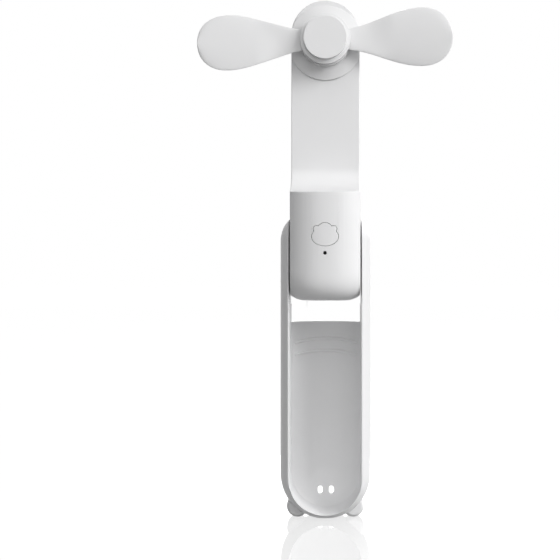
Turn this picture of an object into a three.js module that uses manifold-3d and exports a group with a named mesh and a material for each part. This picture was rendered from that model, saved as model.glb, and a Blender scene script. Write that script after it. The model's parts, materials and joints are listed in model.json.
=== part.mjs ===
// Folding pocket fan: an oval case that is handle, stand and cover, and a fan body with a two-blade
// rotor that turns half a turn between the case's side arms. Millimetres, +Z up. The origin is on the
// surface that the open fan stands on, under the middle of the fan. The case's mouth faces -Y.

import * as THREE from 'three';
import { mergeVertices } from 'three/addons/utils/BufferGeometryUtils.js';
import Module from 'manifold-3d';

const wasm = await Module();
wasm.setup();

// Oval form that the closed fan has
const CASE_WIDTH = 41;
const CASE_DEPTH = 36;
const OVAL_POWER = 2.1;
const BASE_FLAT_WIDTH = 12;
const PIVOT_HEIGHT = 119.6;
const BODY_REACH = 21;
const ARM_REACH = 19.2;
const CORNER_WIDTH = 11;
const CORNER_DEPTH = 12;
const CORNER_LENGTH = 12.7;
const CORNER_POWER = 2;

// Case
const CASE_WALL = 2.2;
const MOUTH_WIDTH = 32.1;
const MOUTH_END_WALL = 2.3;
const RIM_FACE = 0.7;
const BACK_EDGE_BELOW_PIVOT = 31.3;
const RIB_BELOW_PIVOT = 39.5;
const RIB_SPACING = 6.2;
const RIB_ARCH = 1.8;
const RIB_WIDTH = 1;
const RIB_PROUD = 0.5;
const STRAP_SLOT_HEIGHT = 8.6;
const STRAP_SLOT_SPACING = 5.3;
const STRAP_SLOT_WIDTH = 2.3;
const STRAP_SLOT_LENGTH = 3.5;
const DETENT_HEIGHT = 22.5;
const DETENT_RADIUS = 1.5;
const DETENT_PROUD = 0.25;

// Ears
const EAR_RADIUS = 4.9;
const EAR_INSET = 7.8;
const EAR_THICKNESS = 8;
const EAR_EDGE = 1.6;
const EAR_PEG_RADIUS = 1.4;
const EAR_PEG_DEPTH = 2.6;

// Hinge
const PIN_RADIUS = 1.5;
const PIN_LENGTH = 7.6;
const PIN_DEPTH_IN_ARM = 2.9;
const BUSH_WALL = 1;
const BUSH_LENGTH = 4.5;
const HINGE_BOSS_WALL = 1.4;

// Clearances
const SIDE_GAP = 0.35;
const SEAT_GAP = 0.3;
const FIT_GAP = 0.1;
const PARTING_GAP = 0.1;

// Fan body
const HOUSING_WALL = 1.8;
const PARTING_Y = 6;
const PANEL_Y = 1;
const SWEEP_RADIUS = 20;
const BODY_TOP_ABOVE_PIVOT = 27.2;

// Power button, switch and indicator
const BUTTON_ABOVE_PIVOT = 7.35;
const BUTTON_WIDTH = 11.6;
const BUTTON_HEIGHT = 8;
const BUTTON_CROWN_RADIUS = 3.4;
const BUTTON_CROWN_RISE = 2.6;
const BUTTON_EAR_RADIUS = 1.3;
const BUTTON_EAR_SPREAD = 7.6;
const BUTTON_EAR_RISE = 3.4;
const BUTTON_THICKNESS = 2.6;
const BUTTON_STEM_RADIUS = 1.6;
const BUTTON_TRAVEL = 0.6;
const SWITCH_SIZE = 4.2;
const SWITCH_HEIGHT = 1.6;
const SWITCH_PLUNGER_RADIUS = 1.1;
const SWITCH_PLUNGER_HEIGHT = 0.7;
const INDICATOR_ABOVE_PIVOT = 0.2;
const LENS_RADIUS = 0.7;
const LED_SIZE = 1.6;
const LED_HEIGHT = 0.8;

// Circuit board, socket and cell
const BOARD_WIDTH = 19;
const BOARD_CORNER = 1;
const BOARD_HEIGHT = 36;
const BOARD_THICKNESS = 1.2;
const BOARD_FRONT_Y = -9;
const BOARD_ABOVE_END = 5.5;
const SOCKET_WIDTH = 9;
const SOCKET_DEPTH = 3.2;
const SOCKET_LENGTH = 7.3;
const SOCKET_WALL = 0.35;
const SOCKET_INSET = 0.35;
const SOCKET_WELL = 7.2;
const TONGUE_WIDTH = 6.6;
const TONGUE_THICKNESS = 0.7;
const TONGUE_LENGTH = 4.5;
const CELL_RADIUS = 9.1;
const CELL_LENGTH = 34.5;
const CELL_ABOVE_END = 10.5;
const CELL_EDGE = 0.8;
const CELL_CAP_RADIUS = 3.2;
const CELL_CAP_HEIGHT = 0.6;
const CRADLE_THICKNESS = 1.6;
const CRADLE_INSET = 6;
const BOARD_SCREW_SPREAD = 14;
const BOARD_SCREW_BELOW_TOP = 4;
const BOSS_RADIUS = 2.2;
const SCREW_RADIUS = 0.9;
const SCREW_HEAD_RADIUS = 1.8;
const SCREW_HEAD_HEIGHT = 0.9;
const SCREW_CROWN_RADIUS = 1.3;
const BOARD_SCREW_LENGTH = 5;
const LEAD_RADIUS = 0.5;
const LEAD_SPACING = 5;

// Motor and rotor, which turn about an axis along Y
const HUB_BELOW_ARM_END = 19.75;
const MOTOR_RADIUS = 10.5;
const MOTOR_LENGTH = 10;
const MOTOR_EDGE = 1;
const BEZEL_RADIUS = 17.1;
const BEZEL_FRONT_RADIUS = 11.6;
const BEZEL_HEIGHT = 3;
const BEZEL_WALL = 1.4;
const BEZEL_SKIRT = 0.6;
const BEARING_RADIUS = 3;
const SHAFT_RADIUS = 1;
const SHAFT_DEPTH_IN_MOTOR = 7;
const MOTOR_SCREW_SPREAD = 14;
const MOTOR_SCREW_LENGTH = 4.5;
const HUB_RADIUS = 11.4;
const HUB_PLATE = 1.2;
const LUG_BAY = 3.2;
const HUB_BOSS_RADIUS = 1.75;
const CAP_RING = 1.2;
const CAP_RADIUS = 9.7;
const CAP_HEIGHT = 2.3;
const CAP_EDGE = 0.4;

// Blades
const PARK_ANGLE = 2;
const BLADE_TIP_RADIUS = 58;
const BLADE_WIDEST_RADIUS = 44;
const BLADE_ROOT_RADIUS = 12;
const BLADE_WIDTH = 26;
const BLADE_ROOT_WIDTH = 10.2;
const BLADE_SWELL_POWER = 1.35;
const BLADE_TIP_POWER = 2.2;
const BLADE_TIP_BLUNT = 0.05;
const BLADE_EDGE_POWER = 3;
const BLADE_THICKNESS = 0.9;
const BLADE_PITCH = 7;
const BLADE_CAMBER = 0.5;
const BLADE_TWIST_START_RADIUS = 18;
const BLADE_TWIST_END_RADIUS = 32;
const BLADE_STAGGER = 0.6;
const BLADE_PIN_RADIUS = 1.2;
const BLADE_PIN_SPREAD = 12.4;
const BLADE_PIN_IN_CAP = 2.2;
const LUG_RADIUS = 4.1;

// Facets
const OVAL_POINTS = 36;
const DOME_RINGS = 8;
const CORNER_RINGS = 5;
const ROUND_SEGMENTS = 32;
const BEZEL_SEGMENTS = 48;
const SMALL_SEGMENTS = 12;
const ARC_SEGMENTS = 12;
const SMALL_ARC_SEGMENTS = 5;
const EDGE_STEPS = 3;
const BLADE_POINTS = 16;
const BLADE_STATIONS = 14;
const LEAD_SIDES = 3;
const LEAD_STEPS = 16;

// Cuts run past the faces they open, and far past the whole fan where they halve it
const PAST = 1;
const FAR = 400;
const WELD = 1e-4;

// Places worked out from the driving dimensions
const halfWidth = CASE_WIDTH / 2;
const halfDepth = CASE_DEPTH / 2;
const tipCut = halfWidth - Math.sqrt(halfWidth ** 2 - (BASE_FLAT_WIDTH / 2) ** 2);
const earReach = halfWidth - EAR_INSET;
const mouthHalf = MOUTH_WIDTH / 2;
const bodyHalf = mouthHalf - SIDE_GAP;
const rimY = ovalDepth(mouthHalf + RIM_FACE);
const backEdgeZ = PIVOT_HEIGHT - BACK_EDGE_BELOW_PIVOT;
const bodyEndZ = PIVOT_HEIGHT - BODY_REACH;
const armTopZ = 2 * PIVOT_HEIGHT - MOUTH_END_WALL - SIDE_GAP;
const sweepCentreY = PANEL_Y - SWEEP_RADIUS;
const sweepEdgeRise = Math.sqrt(SWEEP_RADIUS ** 2 - (halfDepth + sweepCentreY) ** 2);
const sweepCentreZ = PIVOT_HEIGHT + BODY_TOP_ABOVE_PIVOT + sweepEdgeRise;
const buttonZ = PIVOT_HEIGHT + BUTTON_ABOVE_PIVOT;
const indicatorZ = PIVOT_HEIGHT + INDICATOR_ABOVE_PIVOT;
const boardBackY = BOARD_FRONT_Y + BOARD_THICKNESS;
const boardBottomZ = bodyEndZ + BOARD_ABOVE_END;
const boardTopZ = boardBottomZ + BOARD_HEIGHT;
const boardScrewZ = boardTopZ - BOARD_SCREW_BELOW_TOP;
const boardSeatY = BOARD_FRONT_Y - FIT_GAP;
const switchTopY = boardSeatY - SWITCH_HEIGHT - SWITCH_PLUNGER_HEIGHT;
const ledTopY = boardSeatY - LED_HEIGHT;
const socketY = boardBackY + FIT_GAP + SOCKET_DEPTH / 2;
const cellBottomZ = bodyEndZ + CELL_ABOVE_END;
const cellTopZ = cellBottomZ + CELL_LENGTH;
const hubZ = armTopZ - HUB_BELOW_ARM_END;
const panelBackY = PANEL_Y + HOUSING_WALL;
const motorFrontY = panelBackY + FIT_GAP;
const motorBackY = motorFrontY + MOTOR_LENGTH;
const bezelBackY = PANEL_Y - FIT_GAP;
const bezelFrontY = PANEL_Y - BEZEL_HEIGHT;
const hubBackY = bezelFrontY - SEAT_GAP;
const bayBackY = hubBackY - HUB_PLATE;
const bayFrontY = bayBackY - LUG_BAY;
const capRingFrontY = bayFrontY - CAP_RING;
const capFrontY = capRingFrontY - CAP_HEIGHT;
const bladeY = (bayBackY + bayFrontY) / 2;
const pinReach = BLADE_PIN_SPREAD / 2;

// Depth of the oval section at a distance from its middle
function ovalDepth(x) {
  return halfDepth * (1 - (x / halfWidth) ** OVAL_POWER) ** (1 / OVAL_POWER);
}

// Closed solid from a geometry, with shared corners merged and its faces turned outwards
function solid(geometry) {
  const bare = geometry.clone();
  bare.deleteAttribute('normal');
  bare.deleteAttribute('uv');
  const merged = mergeVertices(bare, WELD);
  const points = merged.attributes.position;
  const corners = [];
  let volume = 0;
  const a = new THREE.Vector3();
  const b = new THREE.Vector3();
  const c = new THREE.Vector3();
  for (let i = 0; i < merged.index.count; i += 3) {
    const triangle = [0, 1, 2].map((k) => merged.index.getX(i + k));
    if (new Set(triangle).size < 3) continue;
    a.fromBufferAttribute(points, triangle[0]);
    b.fromBufferAttribute(points, triangle[1]);
    c.fromBufferAttribute(points, triangle[2]);
    volume += a.dot(b.cross(c));
    corners.push(triangle);
  }
  const triVerts = new Uint32Array(corners.flatMap((t) => (volume < 0 ? [t[0], t[2], t[1]] : t)));
  const vertProperties = new Float32Array(points.array);
  return new wasm.Manifold(new wasm.Mesh({ numProp: 3, vertProperties, triVerts }));
}

// Geometry of a solid
function geometryOf(body) {
  const mesh = body.getMesh();
  const geometry = new THREE.BufferGeometry();
  geometry.setAttribute('position', new THREE.BufferAttribute(new Float32Array(mesh.vertProperties), 3));
  geometry.setIndex(new THREE.BufferAttribute(new Uint32Array(mesh.triVerts), 1));
  geometry.computeVertexNormals();
  return geometry;
}

// Several solids joined into one
function join(...bodies) {
  return bodies.reduce((whole, body) => whole.add(body));
}

// Box between two corners
function box(x0, x1, y0, y1, z0, z1) {
  const geometry = new THREE.BoxGeometry(x1 - x0, y1 - y0, z1 - z0);
  return solid(geometry.translate((x0 + x1) / 2, (y0 + y1) / 2, (z0 + z1) / 2));
}

// Round bar along X, Y or Z between two places on that axis, about the point (u, v) of the other two axes
function bar(axis, radius, from, to, u, v, segments = SMALL_SEGMENTS) {
  const geometry = new THREE.CylinderGeometry(radius, radius, to - from, segments);
  const middle = (from + to) / 2;
  if (axis === 'x') return solid(geometry.rotateZ(Math.PI / 2).translate(middle, u, v));
  if (axis === 'y') return solid(geometry.translate(u, middle, v));
  return solid(geometry.rotateX(Math.PI / 2).translate(u, v, middle));
}

// Solid of revolution about Y from closed or axis-to-axis profile points [radius, y]
function turned(profile, x = 0, z = 0, segments = ROUND_SEGMENTS) {
  const points = profile.map(([radius, y]) => new THREE.Vector2(radius, y));
  return solid(new THREE.LatheGeometry(points, segments).translate(x, 0, z));
}

// Shape in the XZ plane carried along Y
function prismY(shape, fromY, toY, curveSegments = ARC_SEGMENTS) {
  const options = { depth: toY - fromY, bevelEnabled: false, curveSegments };
  const geometry = new THREE.ExtrudeGeometry(shape, options);
  return solid(geometry.rotateX(Math.PI / 2).translate(0, toY, 0));
}

// Shape with its first axis along Y and its second along Z, carried along X on both sides of the middle
function prismX(shape, halfLength, curveSegments = ARC_SEGMENTS) {
  const options = { depth: 2 * halfLength, bevelEnabled: false, curveSegments };
  const geometry = new THREE.ExtrudeGeometry(shape, options).translate(0, 0, -halfLength);
  const place = new THREE.Matrix4().makeBasis(
    new THREE.Vector3(0, 1, 0), new THREE.Vector3(0, 0, 1), new THREE.Vector3(1, 0, 0));
  return solid(geometry.applyMatrix4(place));
}

// Rectangle with rounded corners about a middle point
function roundedRectangle(width, height, radius, middleX, middleY) {
  const x = middleX - width / 2;
  const y = middleY - height / 2;
  const shape = new THREE.Shape();
  shape.moveTo(x + radius, y);
  shape.absarc(x + width - radius, y + radius, radius, -Math.PI / 2, 0);
  shape.absarc(x + width - radius, y + height - radius, radius, 0, Math.PI / 2);
  shape.absarc(x + radius, y + height - radius, radius, Math.PI / 2, Math.PI);
  shape.absarc(x + radius, y + radius, radius, Math.PI, 1.5 * Math.PI);
  return shape;
}

// Closed skin over rings of points, with a fan over each end ring
function skin(rings) {
  const count = rings[0].length;
  const positions = rings.flat().flatMap((point) => [point.x, point.y, point.z]);
  const index = [];
  for (let ring = 0; ring < rings.length - 1; ring += 1) {
    for (let i = 0; i < count; i += 1) {
      const next = (i + 1) % count;
      const low = ring * count;
      const high = low + count;
      index.push(low + i, low + next, high + next, low + i, high + next, high + i);
    }
  }
  [0, rings.length - 1].forEach((ring, end) => {
    const middle = new THREE.Vector3();
    rings[ring].forEach((point) => middle.addScaledVector(point, 1 / count));
    const centre = positions.push(middle.x, middle.y, middle.z) / 3 - 1;
    for (let i = 0; i < count; i += 1) {
      const pair = [ring * count + i, ring * count + (i + 1) % count];
      index.push(centre, end ? pair[0] : pair[1], end ? pair[1] : pair[0]);
    }
  });
  const geometry = new THREE.BufferGeometry();
  geometry.setAttribute('position', new THREE.Float32BufferAttribute(positions, 3));
  geometry.setIndex(index);
  return solid(geometry);
}

// Superellipse of points round a middle
function superellipse(count, power, place) {
  return Array.from({ length: count }, (_, i) => {
    const angle = (2 * Math.PI * i) / count;
    const along = Math.sign(Math.cos(angle)) * Math.abs(Math.cos(angle)) ** (2 / power);
    const across = Math.sign(Math.sin(angle)) * Math.abs(Math.sin(angle)) ** (2 / power);
    return place(along, across);
  });
}

// Oval form from its domed end up to its square end, set in by a wall. reach is from the hinge axis to
// the square end.
function oval(inset, reach) {
  const rings = [];
  const ring = (a, b, z) => {
    rings.push(superellipse(OVAL_POINTS, OVAL_POWER, (u, v) => new THREE.Vector3(a * u, b * v, z)));
  };
  const a = halfWidth - inset;
  const b = halfDepth - inset;
  const firstAngle = Math.acos(1 - tipCut / halfWidth);
  for (let i = 0; i <= DOME_RINGS; i += 1) {
    const angle = firstAngle + (Math.PI / 2 - firstAngle) * (i / DOME_RINGS);
    ring(a * Math.sin(angle), b * Math.sin(angle), halfWidth - tipCut - a * Math.cos(angle));
  }
  const endZ = PIVOT_HEIGHT + reach - inset;
  for (let i = 0; i <= CORNER_RINGS; i += 1) {
    const angle = (Math.PI / 2) * (i / CORNER_RINGS);
    const spread = Math.max(Math.cos(angle), 0) ** (2 / CORNER_POWER);
    const climb = Math.sin(angle) ** (2 / CORNER_POWER);
    const width = a - (CORNER_WIDTH - inset) * (1 - spread);
    const depth = b - (CORNER_DEPTH - inset) * (1 - spread);
    ring(width, depth, endZ - (CORNER_LENGTH - inset) * (1 - climb));
  }
  return skin(rings);
}

// The same oval turned half a turn about the hinge axis, as the fan body stands when it is open
function openOval(inset) {
  return oval(inset, BODY_REACH).rotate([180, 0, 0]).translate([0, 0, 2 * PIVOT_HEIGHT]);
}

// Long outline with one round end, for the mouth (round end low) and for the arm (round end high)
function tongue(half, roundEndZ, straightEndZ) {
  const up = Math.sign(straightEndZ - roundEndZ);
  const centreZ = roundEndZ + up * half;
  const shape = new THREE.Shape();
  shape.moveTo(half, straightEndZ);
  shape.lineTo(-half, straightEndZ);
  shape.lineTo(-half, centreZ);
  shape.absarc(0, centreZ, half, Math.PI, up > 0 ? 2 * Math.PI : 0, up < 0);
  return shape;
}

// Case shell: oval cut by its mouth, with side arms above the back wall
function caseShell() {
  const mouth = prismY(tongue(mouthHalf, MOUTH_END_WALL, FAR), -FAR, FAR);
  const hollow = oval(CASE_WALL, ARM_REACH);
  const front = box(-FAR, FAR, -FAR, 0, -FAR, FAR);
  const aboveBack = box(-FAR, FAR, -FAR, FAR, backEdgeZ, FAR);
  let shell = oval(0, ARM_REACH)
    .subtract(mouth.intersect(join(hollow, front, aboveBack)))
    .subtract(box(-FAR, FAR, -FAR, -rimY, -FAR, FAR))
    .subtract(box(-FAR, FAR, rimY, FAR, backEdgeZ, FAR));
  const ribBand = hollow.subtract(oval(CASE_WALL + RIB_PROUD, ARM_REACH)).intersect(mouth);
  const ribZ = PIVOT_HEIGHT - RIB_BELOW_PIVOT;
  [ribZ, ribZ - RIB_SPACING].forEach((height) => {
    shell = shell.add(arch(height).intersect(ribBand));
  });
  [-1, 1].forEach((side) => {
    const slotX = side * STRAP_SLOT_SPACING / 2;
    const slot = roundedRectangle(
      STRAP_SLOT_WIDTH, STRAP_SLOT_LENGTH, STRAP_SLOT_WIDTH / 2 - FIT_GAP, slotX, STRAP_SLOT_HEIGHT);
    const boreEnds = [mouthHalf - SIDE_GAP, mouthHalf + PIN_DEPTH_IN_ARM + FIT_GAP];
    const [from, to] = side > 0 ? boreEnds : [-boreEnds[1], -boreEnds[0]];
    const detentX = side * (mouthHalf + DETENT_RADIUS - DETENT_PROUD);
    const detent = new THREE.SphereGeometry(DETENT_RADIUS, SMALL_SEGMENTS, SMALL_SEGMENTS / 2);
    shell = shell
      .subtract(prismY(slot, 0, halfDepth + PAST, SMALL_ARC_SEGMENTS))
      .subtract(bar('x', PIN_RADIUS + FIT_GAP, from, to, 0, PIVOT_HEIGHT))
      .subtract(earPeg(side, EAR_PEG_RADIUS + FIT_GAP, EAR_PEG_DEPTH + FIT_GAP))
      .add(solid(detent.translate(detentX, 0, DETENT_HEIGHT)));
  });
  return shell;
}

// Band that arches across the back wall, standing clear of the wall's side
function arch(height) {
  const shape = new THREE.Shape();
  const half = RIB_WIDTH / 2;
  shape.moveTo(-mouthHalf, height - RIB_ARCH - half);
  shape.quadraticCurveTo(0, height + RIB_ARCH - half, mouthHalf, height - RIB_ARCH - half);
  shape.lineTo(mouthHalf, height - RIB_ARCH + half);
  shape.quadraticCurveTo(0, height + RIB_ARCH + half, -mouthHalf, height - RIB_ARCH + half);
  return prismY(shape, 0, halfDepth);
}

// Peg from an ear's middle towards the middle of the dome
function earPeg(side, radius, depth) {
  const middle = new THREE.Vector3(0, 0, halfWidth - tipCut);
  const ear = new THREE.Vector3(side * earReach, 0, EAR_RADIUS);
  const inwards = middle.clone().sub(ear).normalize();
  const outer = middle.clone().addScaledVector(inwards, -halfWidth - EAR_RADIUS / 2);
  const length = depth + EAR_RADIUS / 2;
  const turn = new THREE.Quaternion().setFromUnitVectors(new THREE.Vector3(0, 1, 0), inwards);
  const place = outer.addScaledVector(inwards, length / 2);
  const geometry = new THREE.CylinderGeometry(radius, radius, length, SMALL_SEGMENTS);
  return solid(geometry.applyQuaternion(turn).translate(place.x, place.y, place.z));
}

// Round ear with soft edges, cut to the case's outside, with its peg
function ear(side) {
  const half = EAR_THICKNESS / 2;
  const low = edge(EAR_RADIUS, -half, EAR_EDGE, -1);
  const high = edge(EAR_RADIUS, half, EAR_EDGE, 1);
  const disc = turned([[0, -half], ...low, ...high, [0, half]], side * earReach, EAR_RADIUS);
  return disc.subtract(oval(-SEAT_GAP, ARM_REACH)).add(earPeg(side, EAR_PEG_RADIUS, EAR_PEG_DEPTH));
}

// Rounded outer edge of a turned profile at a radius and a face, which is -1 on the low end and 1 on
// the high end
function edge(radius, faceY, round, face) {
  const points = Array.from({ length: EDGE_STEPS + 1 }, (_, i) => {
    const angle = (Math.PI / 2) * (i / EDGE_STEPS);
    return [radius - round * (1 - Math.sin(angle)), faceY - face * round * (1 - Math.cos(angle))];
  });
  return face < 0 ? points : points.reverse();
}

// Solid in front of the arm panel and above the body: the space that the concave sweep leaves free
function sweepSpace(inset) {
  const shape = new THREE.Shape();
  const radius = SWEEP_RADIUS + inset;
  shape.moveTo(PANEL_Y + inset, FAR);
  shape.lineTo(-FAR, FAR);
  shape.lineTo(-FAR, sweepCentreZ - radius);
  shape.lineTo(sweepCentreY, sweepCentreZ - radius);
  shape.absarc(sweepCentreY, sweepCentreZ, radius, -Math.PI / 2, 0);
  return prismX(shape, CASE_WIDTH);
}

// Outer form of body and arm, and the room inside its walls
function bodyForm(inset) {
  const outline = tongue(bodyHalf - inset, armTopZ - inset, -FAR);
  return openOval(inset).intersect(prismY(outline, -FAR, FAR));
}

// Button outline: a rounded head with a raised crown between two round ears, grown by a gap
function buttonPrism(gap, fromY, toY) {
  const head = new THREE.Shape();
  head.absellipse(0, buttonZ, BUTTON_WIDTH / 2 + gap, BUTTON_HEIGHT / 2 + gap, 0, 2 * Math.PI);
  const crownZ = buttonZ + BUTTON_CROWN_RISE;
  const crown = bar('y', BUTTON_CROWN_RADIUS + gap, fromY, toY, 0, crownZ, ROUND_SEGMENTS);
  const ears = [-1, 1].map((side) => {
    const earX = side * BUTTON_EAR_SPREAD / 2;
    return bar('y', BUTTON_EAR_RADIUS + gap, fromY, toY, earX, buttonZ + BUTTON_EAR_RISE);
  });
  return join(prismY(head, fromY, toY), crown, ...ears);
}

// Front of the body with the sweep and the arm panel, open towards the back
function frontHousing() {
  const ahead = box(-FAR, FAR, -FAR, PARTING_Y - PARTING_GAP / 2, -FAR, FAR);
  const form = bodyForm(0).intersect(ahead).subtract(sweepSpace(0));
  const room = bodyForm(HOUSING_WALL).subtract(sweepSpace(HOUSING_WALL));
  let housing = form.subtract(room);
  const bushOuter = PIN_RADIUS + SEAT_GAP + BUSH_WALL;
  [-1, 1].forEach((side) => {
    const inner = bodyHalf - BUSH_LENGTH;
    const [from, to] = side > 0 ? [inner, bodyHalf] : [-bodyHalf, -inner];
    const boss = bar('x', bushOuter + HINGE_BOSS_WALL, from, to, 0, PIVOT_HEIGHT);
    const through = side > 0 ? [inner - HOUSING_WALL, FAR] : [-FAR, -inner + HOUSING_WALL];
    const hole = bar('x', bushOuter + FIT_GAP, through[0], through[1], 0, PIVOT_HEIGHT);
    const screwX = side * BOARD_SCREW_SPREAD / 2;
    const post = bar('y', BOSS_RADIUS, -halfDepth, boardSeatY, screwX, boardScrewZ);
    const pilotFrom = boardBackY + FIT_GAP - BOARD_SCREW_LENGTH - FIT_GAP;
    const pilot = bar('y', SCREW_RADIUS + FIT_GAP, pilotFrom, 0, screwX, boardScrewZ);
    const motorScrewX = side * MOTOR_SCREW_SPREAD / 2;
    const motorHole = bar(
      'y', SCREW_RADIUS + FIT_GAP, PANEL_Y - PAST, panelBackY + PAST, motorScrewX, hubZ);
    housing = housing
      .add(join(boss, post).intersect(form))
      .subtract(hole)
      .subtract(pilot)
      .subtract(motorHole);
  });
  const socketHole = roundedRectangle(
    SOCKET_WIDTH + 2 * SEAT_GAP, SOCKET_DEPTH + 2 * SEAT_GAP, SOCKET_DEPTH / 2, 0, socketY);
  const socketCut = new THREE.ExtrudeGeometry(
    socketHole, { depth: SOCKET_WELL + PAST, bevelEnabled: false, curveSegments: SMALL_ARC_SEGMENTS });
  return housing
    .subtract(buttonPrism(SEAT_GAP, -FAR, BOARD_FRONT_Y - SEAT_GAP))
    .subtract(bar('y', LENS_RADIUS + FIT_GAP, -halfDepth - PAST, ledTopY, 0, indicatorZ))
    .subtract(bar('y', BEARING_RADIUS + FIT_GAP, PANEL_Y - PAST, panelBackY + PAST, 0, hubZ))
    .subtract(solid(socketCut.translate(0, 0, bodyEndZ - PAST)));
}

// Long convex back of body and arm, with two ribs that cradle the cell
function rearHousing() {
  const behind = box(-FAR, FAR, PARTING_Y + PARTING_GAP / 2, FAR, -FAR, FAR);
  const form = bodyForm(0).intersect(behind);
  let housing = form.subtract(bodyForm(HOUSING_WALL));
  const seat = bar('z', CELL_RADIUS + SEAT_GAP, -FAR, FAR, 0, PARTING_Y, ROUND_SEGMENTS);
  [cellBottomZ + CRADLE_INSET, cellTopZ - CRADLE_INSET].forEach((z) => {
    const half = CRADLE_THICKNESS / 2;
    const rib = box(-FAR, FAR, PARTING_Y, FAR, z - half, z + half);
    housing = housing.add(rib.intersect(form).subtract(seat));
  });
  return housing;
}

// Sleeve in the body's side that turns on a hinge pin
function hingeBush(side) {
  const inner = bodyHalf - BUSH_LENGTH;
  const [from, to] = side > 0 ? [inner, bodyHalf] : [-bodyHalf, -inner];
  const sleeve = bar('x', PIN_RADIUS + SEAT_GAP + BUSH_WALL, from, to, 0, PIVOT_HEIGHT);
  return sleeve.subtract(bar('x', PIN_RADIUS + SEAT_GAP, from - PAST, to + PAST, 0, PIVOT_HEIGHT));
}

// Hinge pin held in a side arm
function hingePin(side) {
  const outer = mouthHalf + PIN_DEPTH_IN_ARM;
  const [from, to] = side > 0 ? [outer - PIN_LENGTH, outer] : [-outer, PIN_LENGTH - outer];
  return bar('x', PIN_RADIUS, from, to, 0, PIVOT_HEIGHT);
}

// Button cap with its front in the body's surface and a stem towards the switch
function powerButton() {
  const backY = BUTTON_THICKNESS - halfDepth;
  const stemEndY = switchTopY - BUTTON_TRAVEL - FIT_GAP;
  const cap = buttonPrism(0, -FAR, backY).intersect(openOval(0));
  return cap.add(bar('y', BUTTON_STEM_RADIUS, backY - PAST, stemEndY, 0, buttonZ));
}

// Board with its two screw holes
function circuitBoard() {
  const middleZ = (boardBottomZ + boardTopZ) / 2;
  const outline = roundedRectangle(BOARD_WIDTH, BOARD_HEIGHT, BOARD_CORNER, 0, middleZ);
  let board = prismY(outline, BOARD_FRONT_Y, boardBackY, SMALL_ARC_SEGMENTS);
  [-1, 1].forEach((side) => {
    const screwX = side * BOARD_SCREW_SPREAD / 2;
    board = board.subtract(bar(
      'y', SCREW_RADIUS + FIT_GAP, BOARD_FRONT_Y - PAST, boardBackY + PAST, screwX, boardScrewZ));
  });
  return board;
}

// Push switch on the front of the board
function powerSwitch() {
  const half = SWITCH_SIZE / 2;
  const baseTopY = boardSeatY - SWITCH_HEIGHT;
  const base = box(-half, half, baseTopY, boardSeatY, buttonZ - half, buttonZ + half);
  return base.add(bar('y', SWITCH_PLUNGER_RADIUS, switchTopY, boardSeatY, 0, buttonZ));
}

// Charging socket: a rounded steel shell, open downwards, with a tongue inside
function usbSocket() {
  const lowZ = bodyEndZ + SOCKET_INSET;
  const tube = (wall, depth) => {
    const width = SOCKET_WIDTH - 2 * wall;
    const height = SOCKET_DEPTH - 2 * wall;
    const shape = roundedRectangle(width, height, height / 2 - FIT_GAP, 0, socketY);
    const options = { depth, bevelEnabled: false, curveSegments: SMALL_ARC_SEGMENTS };
    return solid(new THREE.ExtrudeGeometry(shape, options).translate(0, 0, lowZ));
  };
  const back = lowZ + SOCKET_LENGTH - SOCKET_WALL;
  const hollow = tube(SOCKET_WALL, SOCKET_LENGTH - SOCKET_WALL);
  const halfTongue = TONGUE_THICKNESS / 2;
  const tongueBar = box(
    -TONGUE_WIDTH / 2, TONGUE_WIDTH / 2, socketY - halfTongue, socketY + halfTongue,
    back - TONGUE_LENGTH, back + SOCKET_WALL / 2);
  return tube(0, SOCKET_LENGTH).subtract(hollow).add(tongueBar);
}

// Round cell with its raised contact on top
function batteryCell() {
  const profile = [
    [0, 0], ...edge(CELL_RADIUS, 0, CELL_EDGE, -1),
    ...edge(CELL_RADIUS, CELL_LENGTH - CELL_CAP_HEIGHT, CELL_EDGE, 1),
    [CELL_CAP_RADIUS, CELL_LENGTH - CELL_CAP_HEIGHT], [CELL_CAP_RADIUS, CELL_LENGTH], [0, CELL_LENGTH],
  ];
  return turned(profile).rotate([90, 0, 0]).translate([0, PARTING_Y, cellBottomZ]);
}

// Pan-head screw along Y, its head towards headward (-1 front, 1 back) and its seat at seatY
function screw(x, z, seatY, headward, length) {
  const headY = seatY + headward * SCREW_HEAD_HEIGHT;
  const tipY = seatY - headward * length;
  const shoulderY = (headY + seatY) / 2;
  return turned([
    [0, headY], [SCREW_CROWN_RADIUS, headY], [SCREW_HEAD_RADIUS, shoulderY],
    [SCREW_HEAD_RADIUS, seatY], [SCREW_RADIUS, seatY], [SCREW_RADIUS, tipY], [0, tipY],
  ], x, z, SMALL_SEGMENTS);
}

// Round lead along a smooth route
function lead(route) {
  const path = new THREE.CatmullRomCurve3(route.map((point) => new THREE.Vector3(...point)));
  const section = new THREE.Shape();
  section.absarc(0, 0, LEAD_RADIUS, 0, 2 * Math.PI);
  const options = { steps: LEAD_STEPS, bevelEnabled: false, extrudePath: path, curveSegments: LEAD_SIDES };
  return solid(new THREE.ExtrudeGeometry(section, options));
}

// Motor can with a shaft bore and two tapped holes in its front
function motorCan() {
  let can = turned([
    [0, motorFrontY], ...edge(MOTOR_RADIUS, motorFrontY, MOTOR_EDGE, -1),
    ...edge(MOTOR_RADIUS, motorBackY, MOTOR_EDGE, 1), [0, motorBackY],
  ], 0, hubZ);
  const boreEnd = motorFrontY + SHAFT_DEPTH_IN_MOTOR + SEAT_GAP;
  can = can.subtract(bar('y', SHAFT_RADIUS + SEAT_GAP, motorFrontY - PAST, boreEnd, 0, hubZ));
  [-1, 1].forEach((side) => {
    const holeEnd = PANEL_Y + MOTOR_SCREW_LENGTH + SEAT_GAP;
    const screwX = side * MOTOR_SCREW_SPREAD / 2;
    can = can.subtract(bar('y', SCREW_RADIUS + FIT_GAP, motorFrontY - PAST, holeEnd, screwX, hubZ));
  });
  return can;
}

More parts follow.
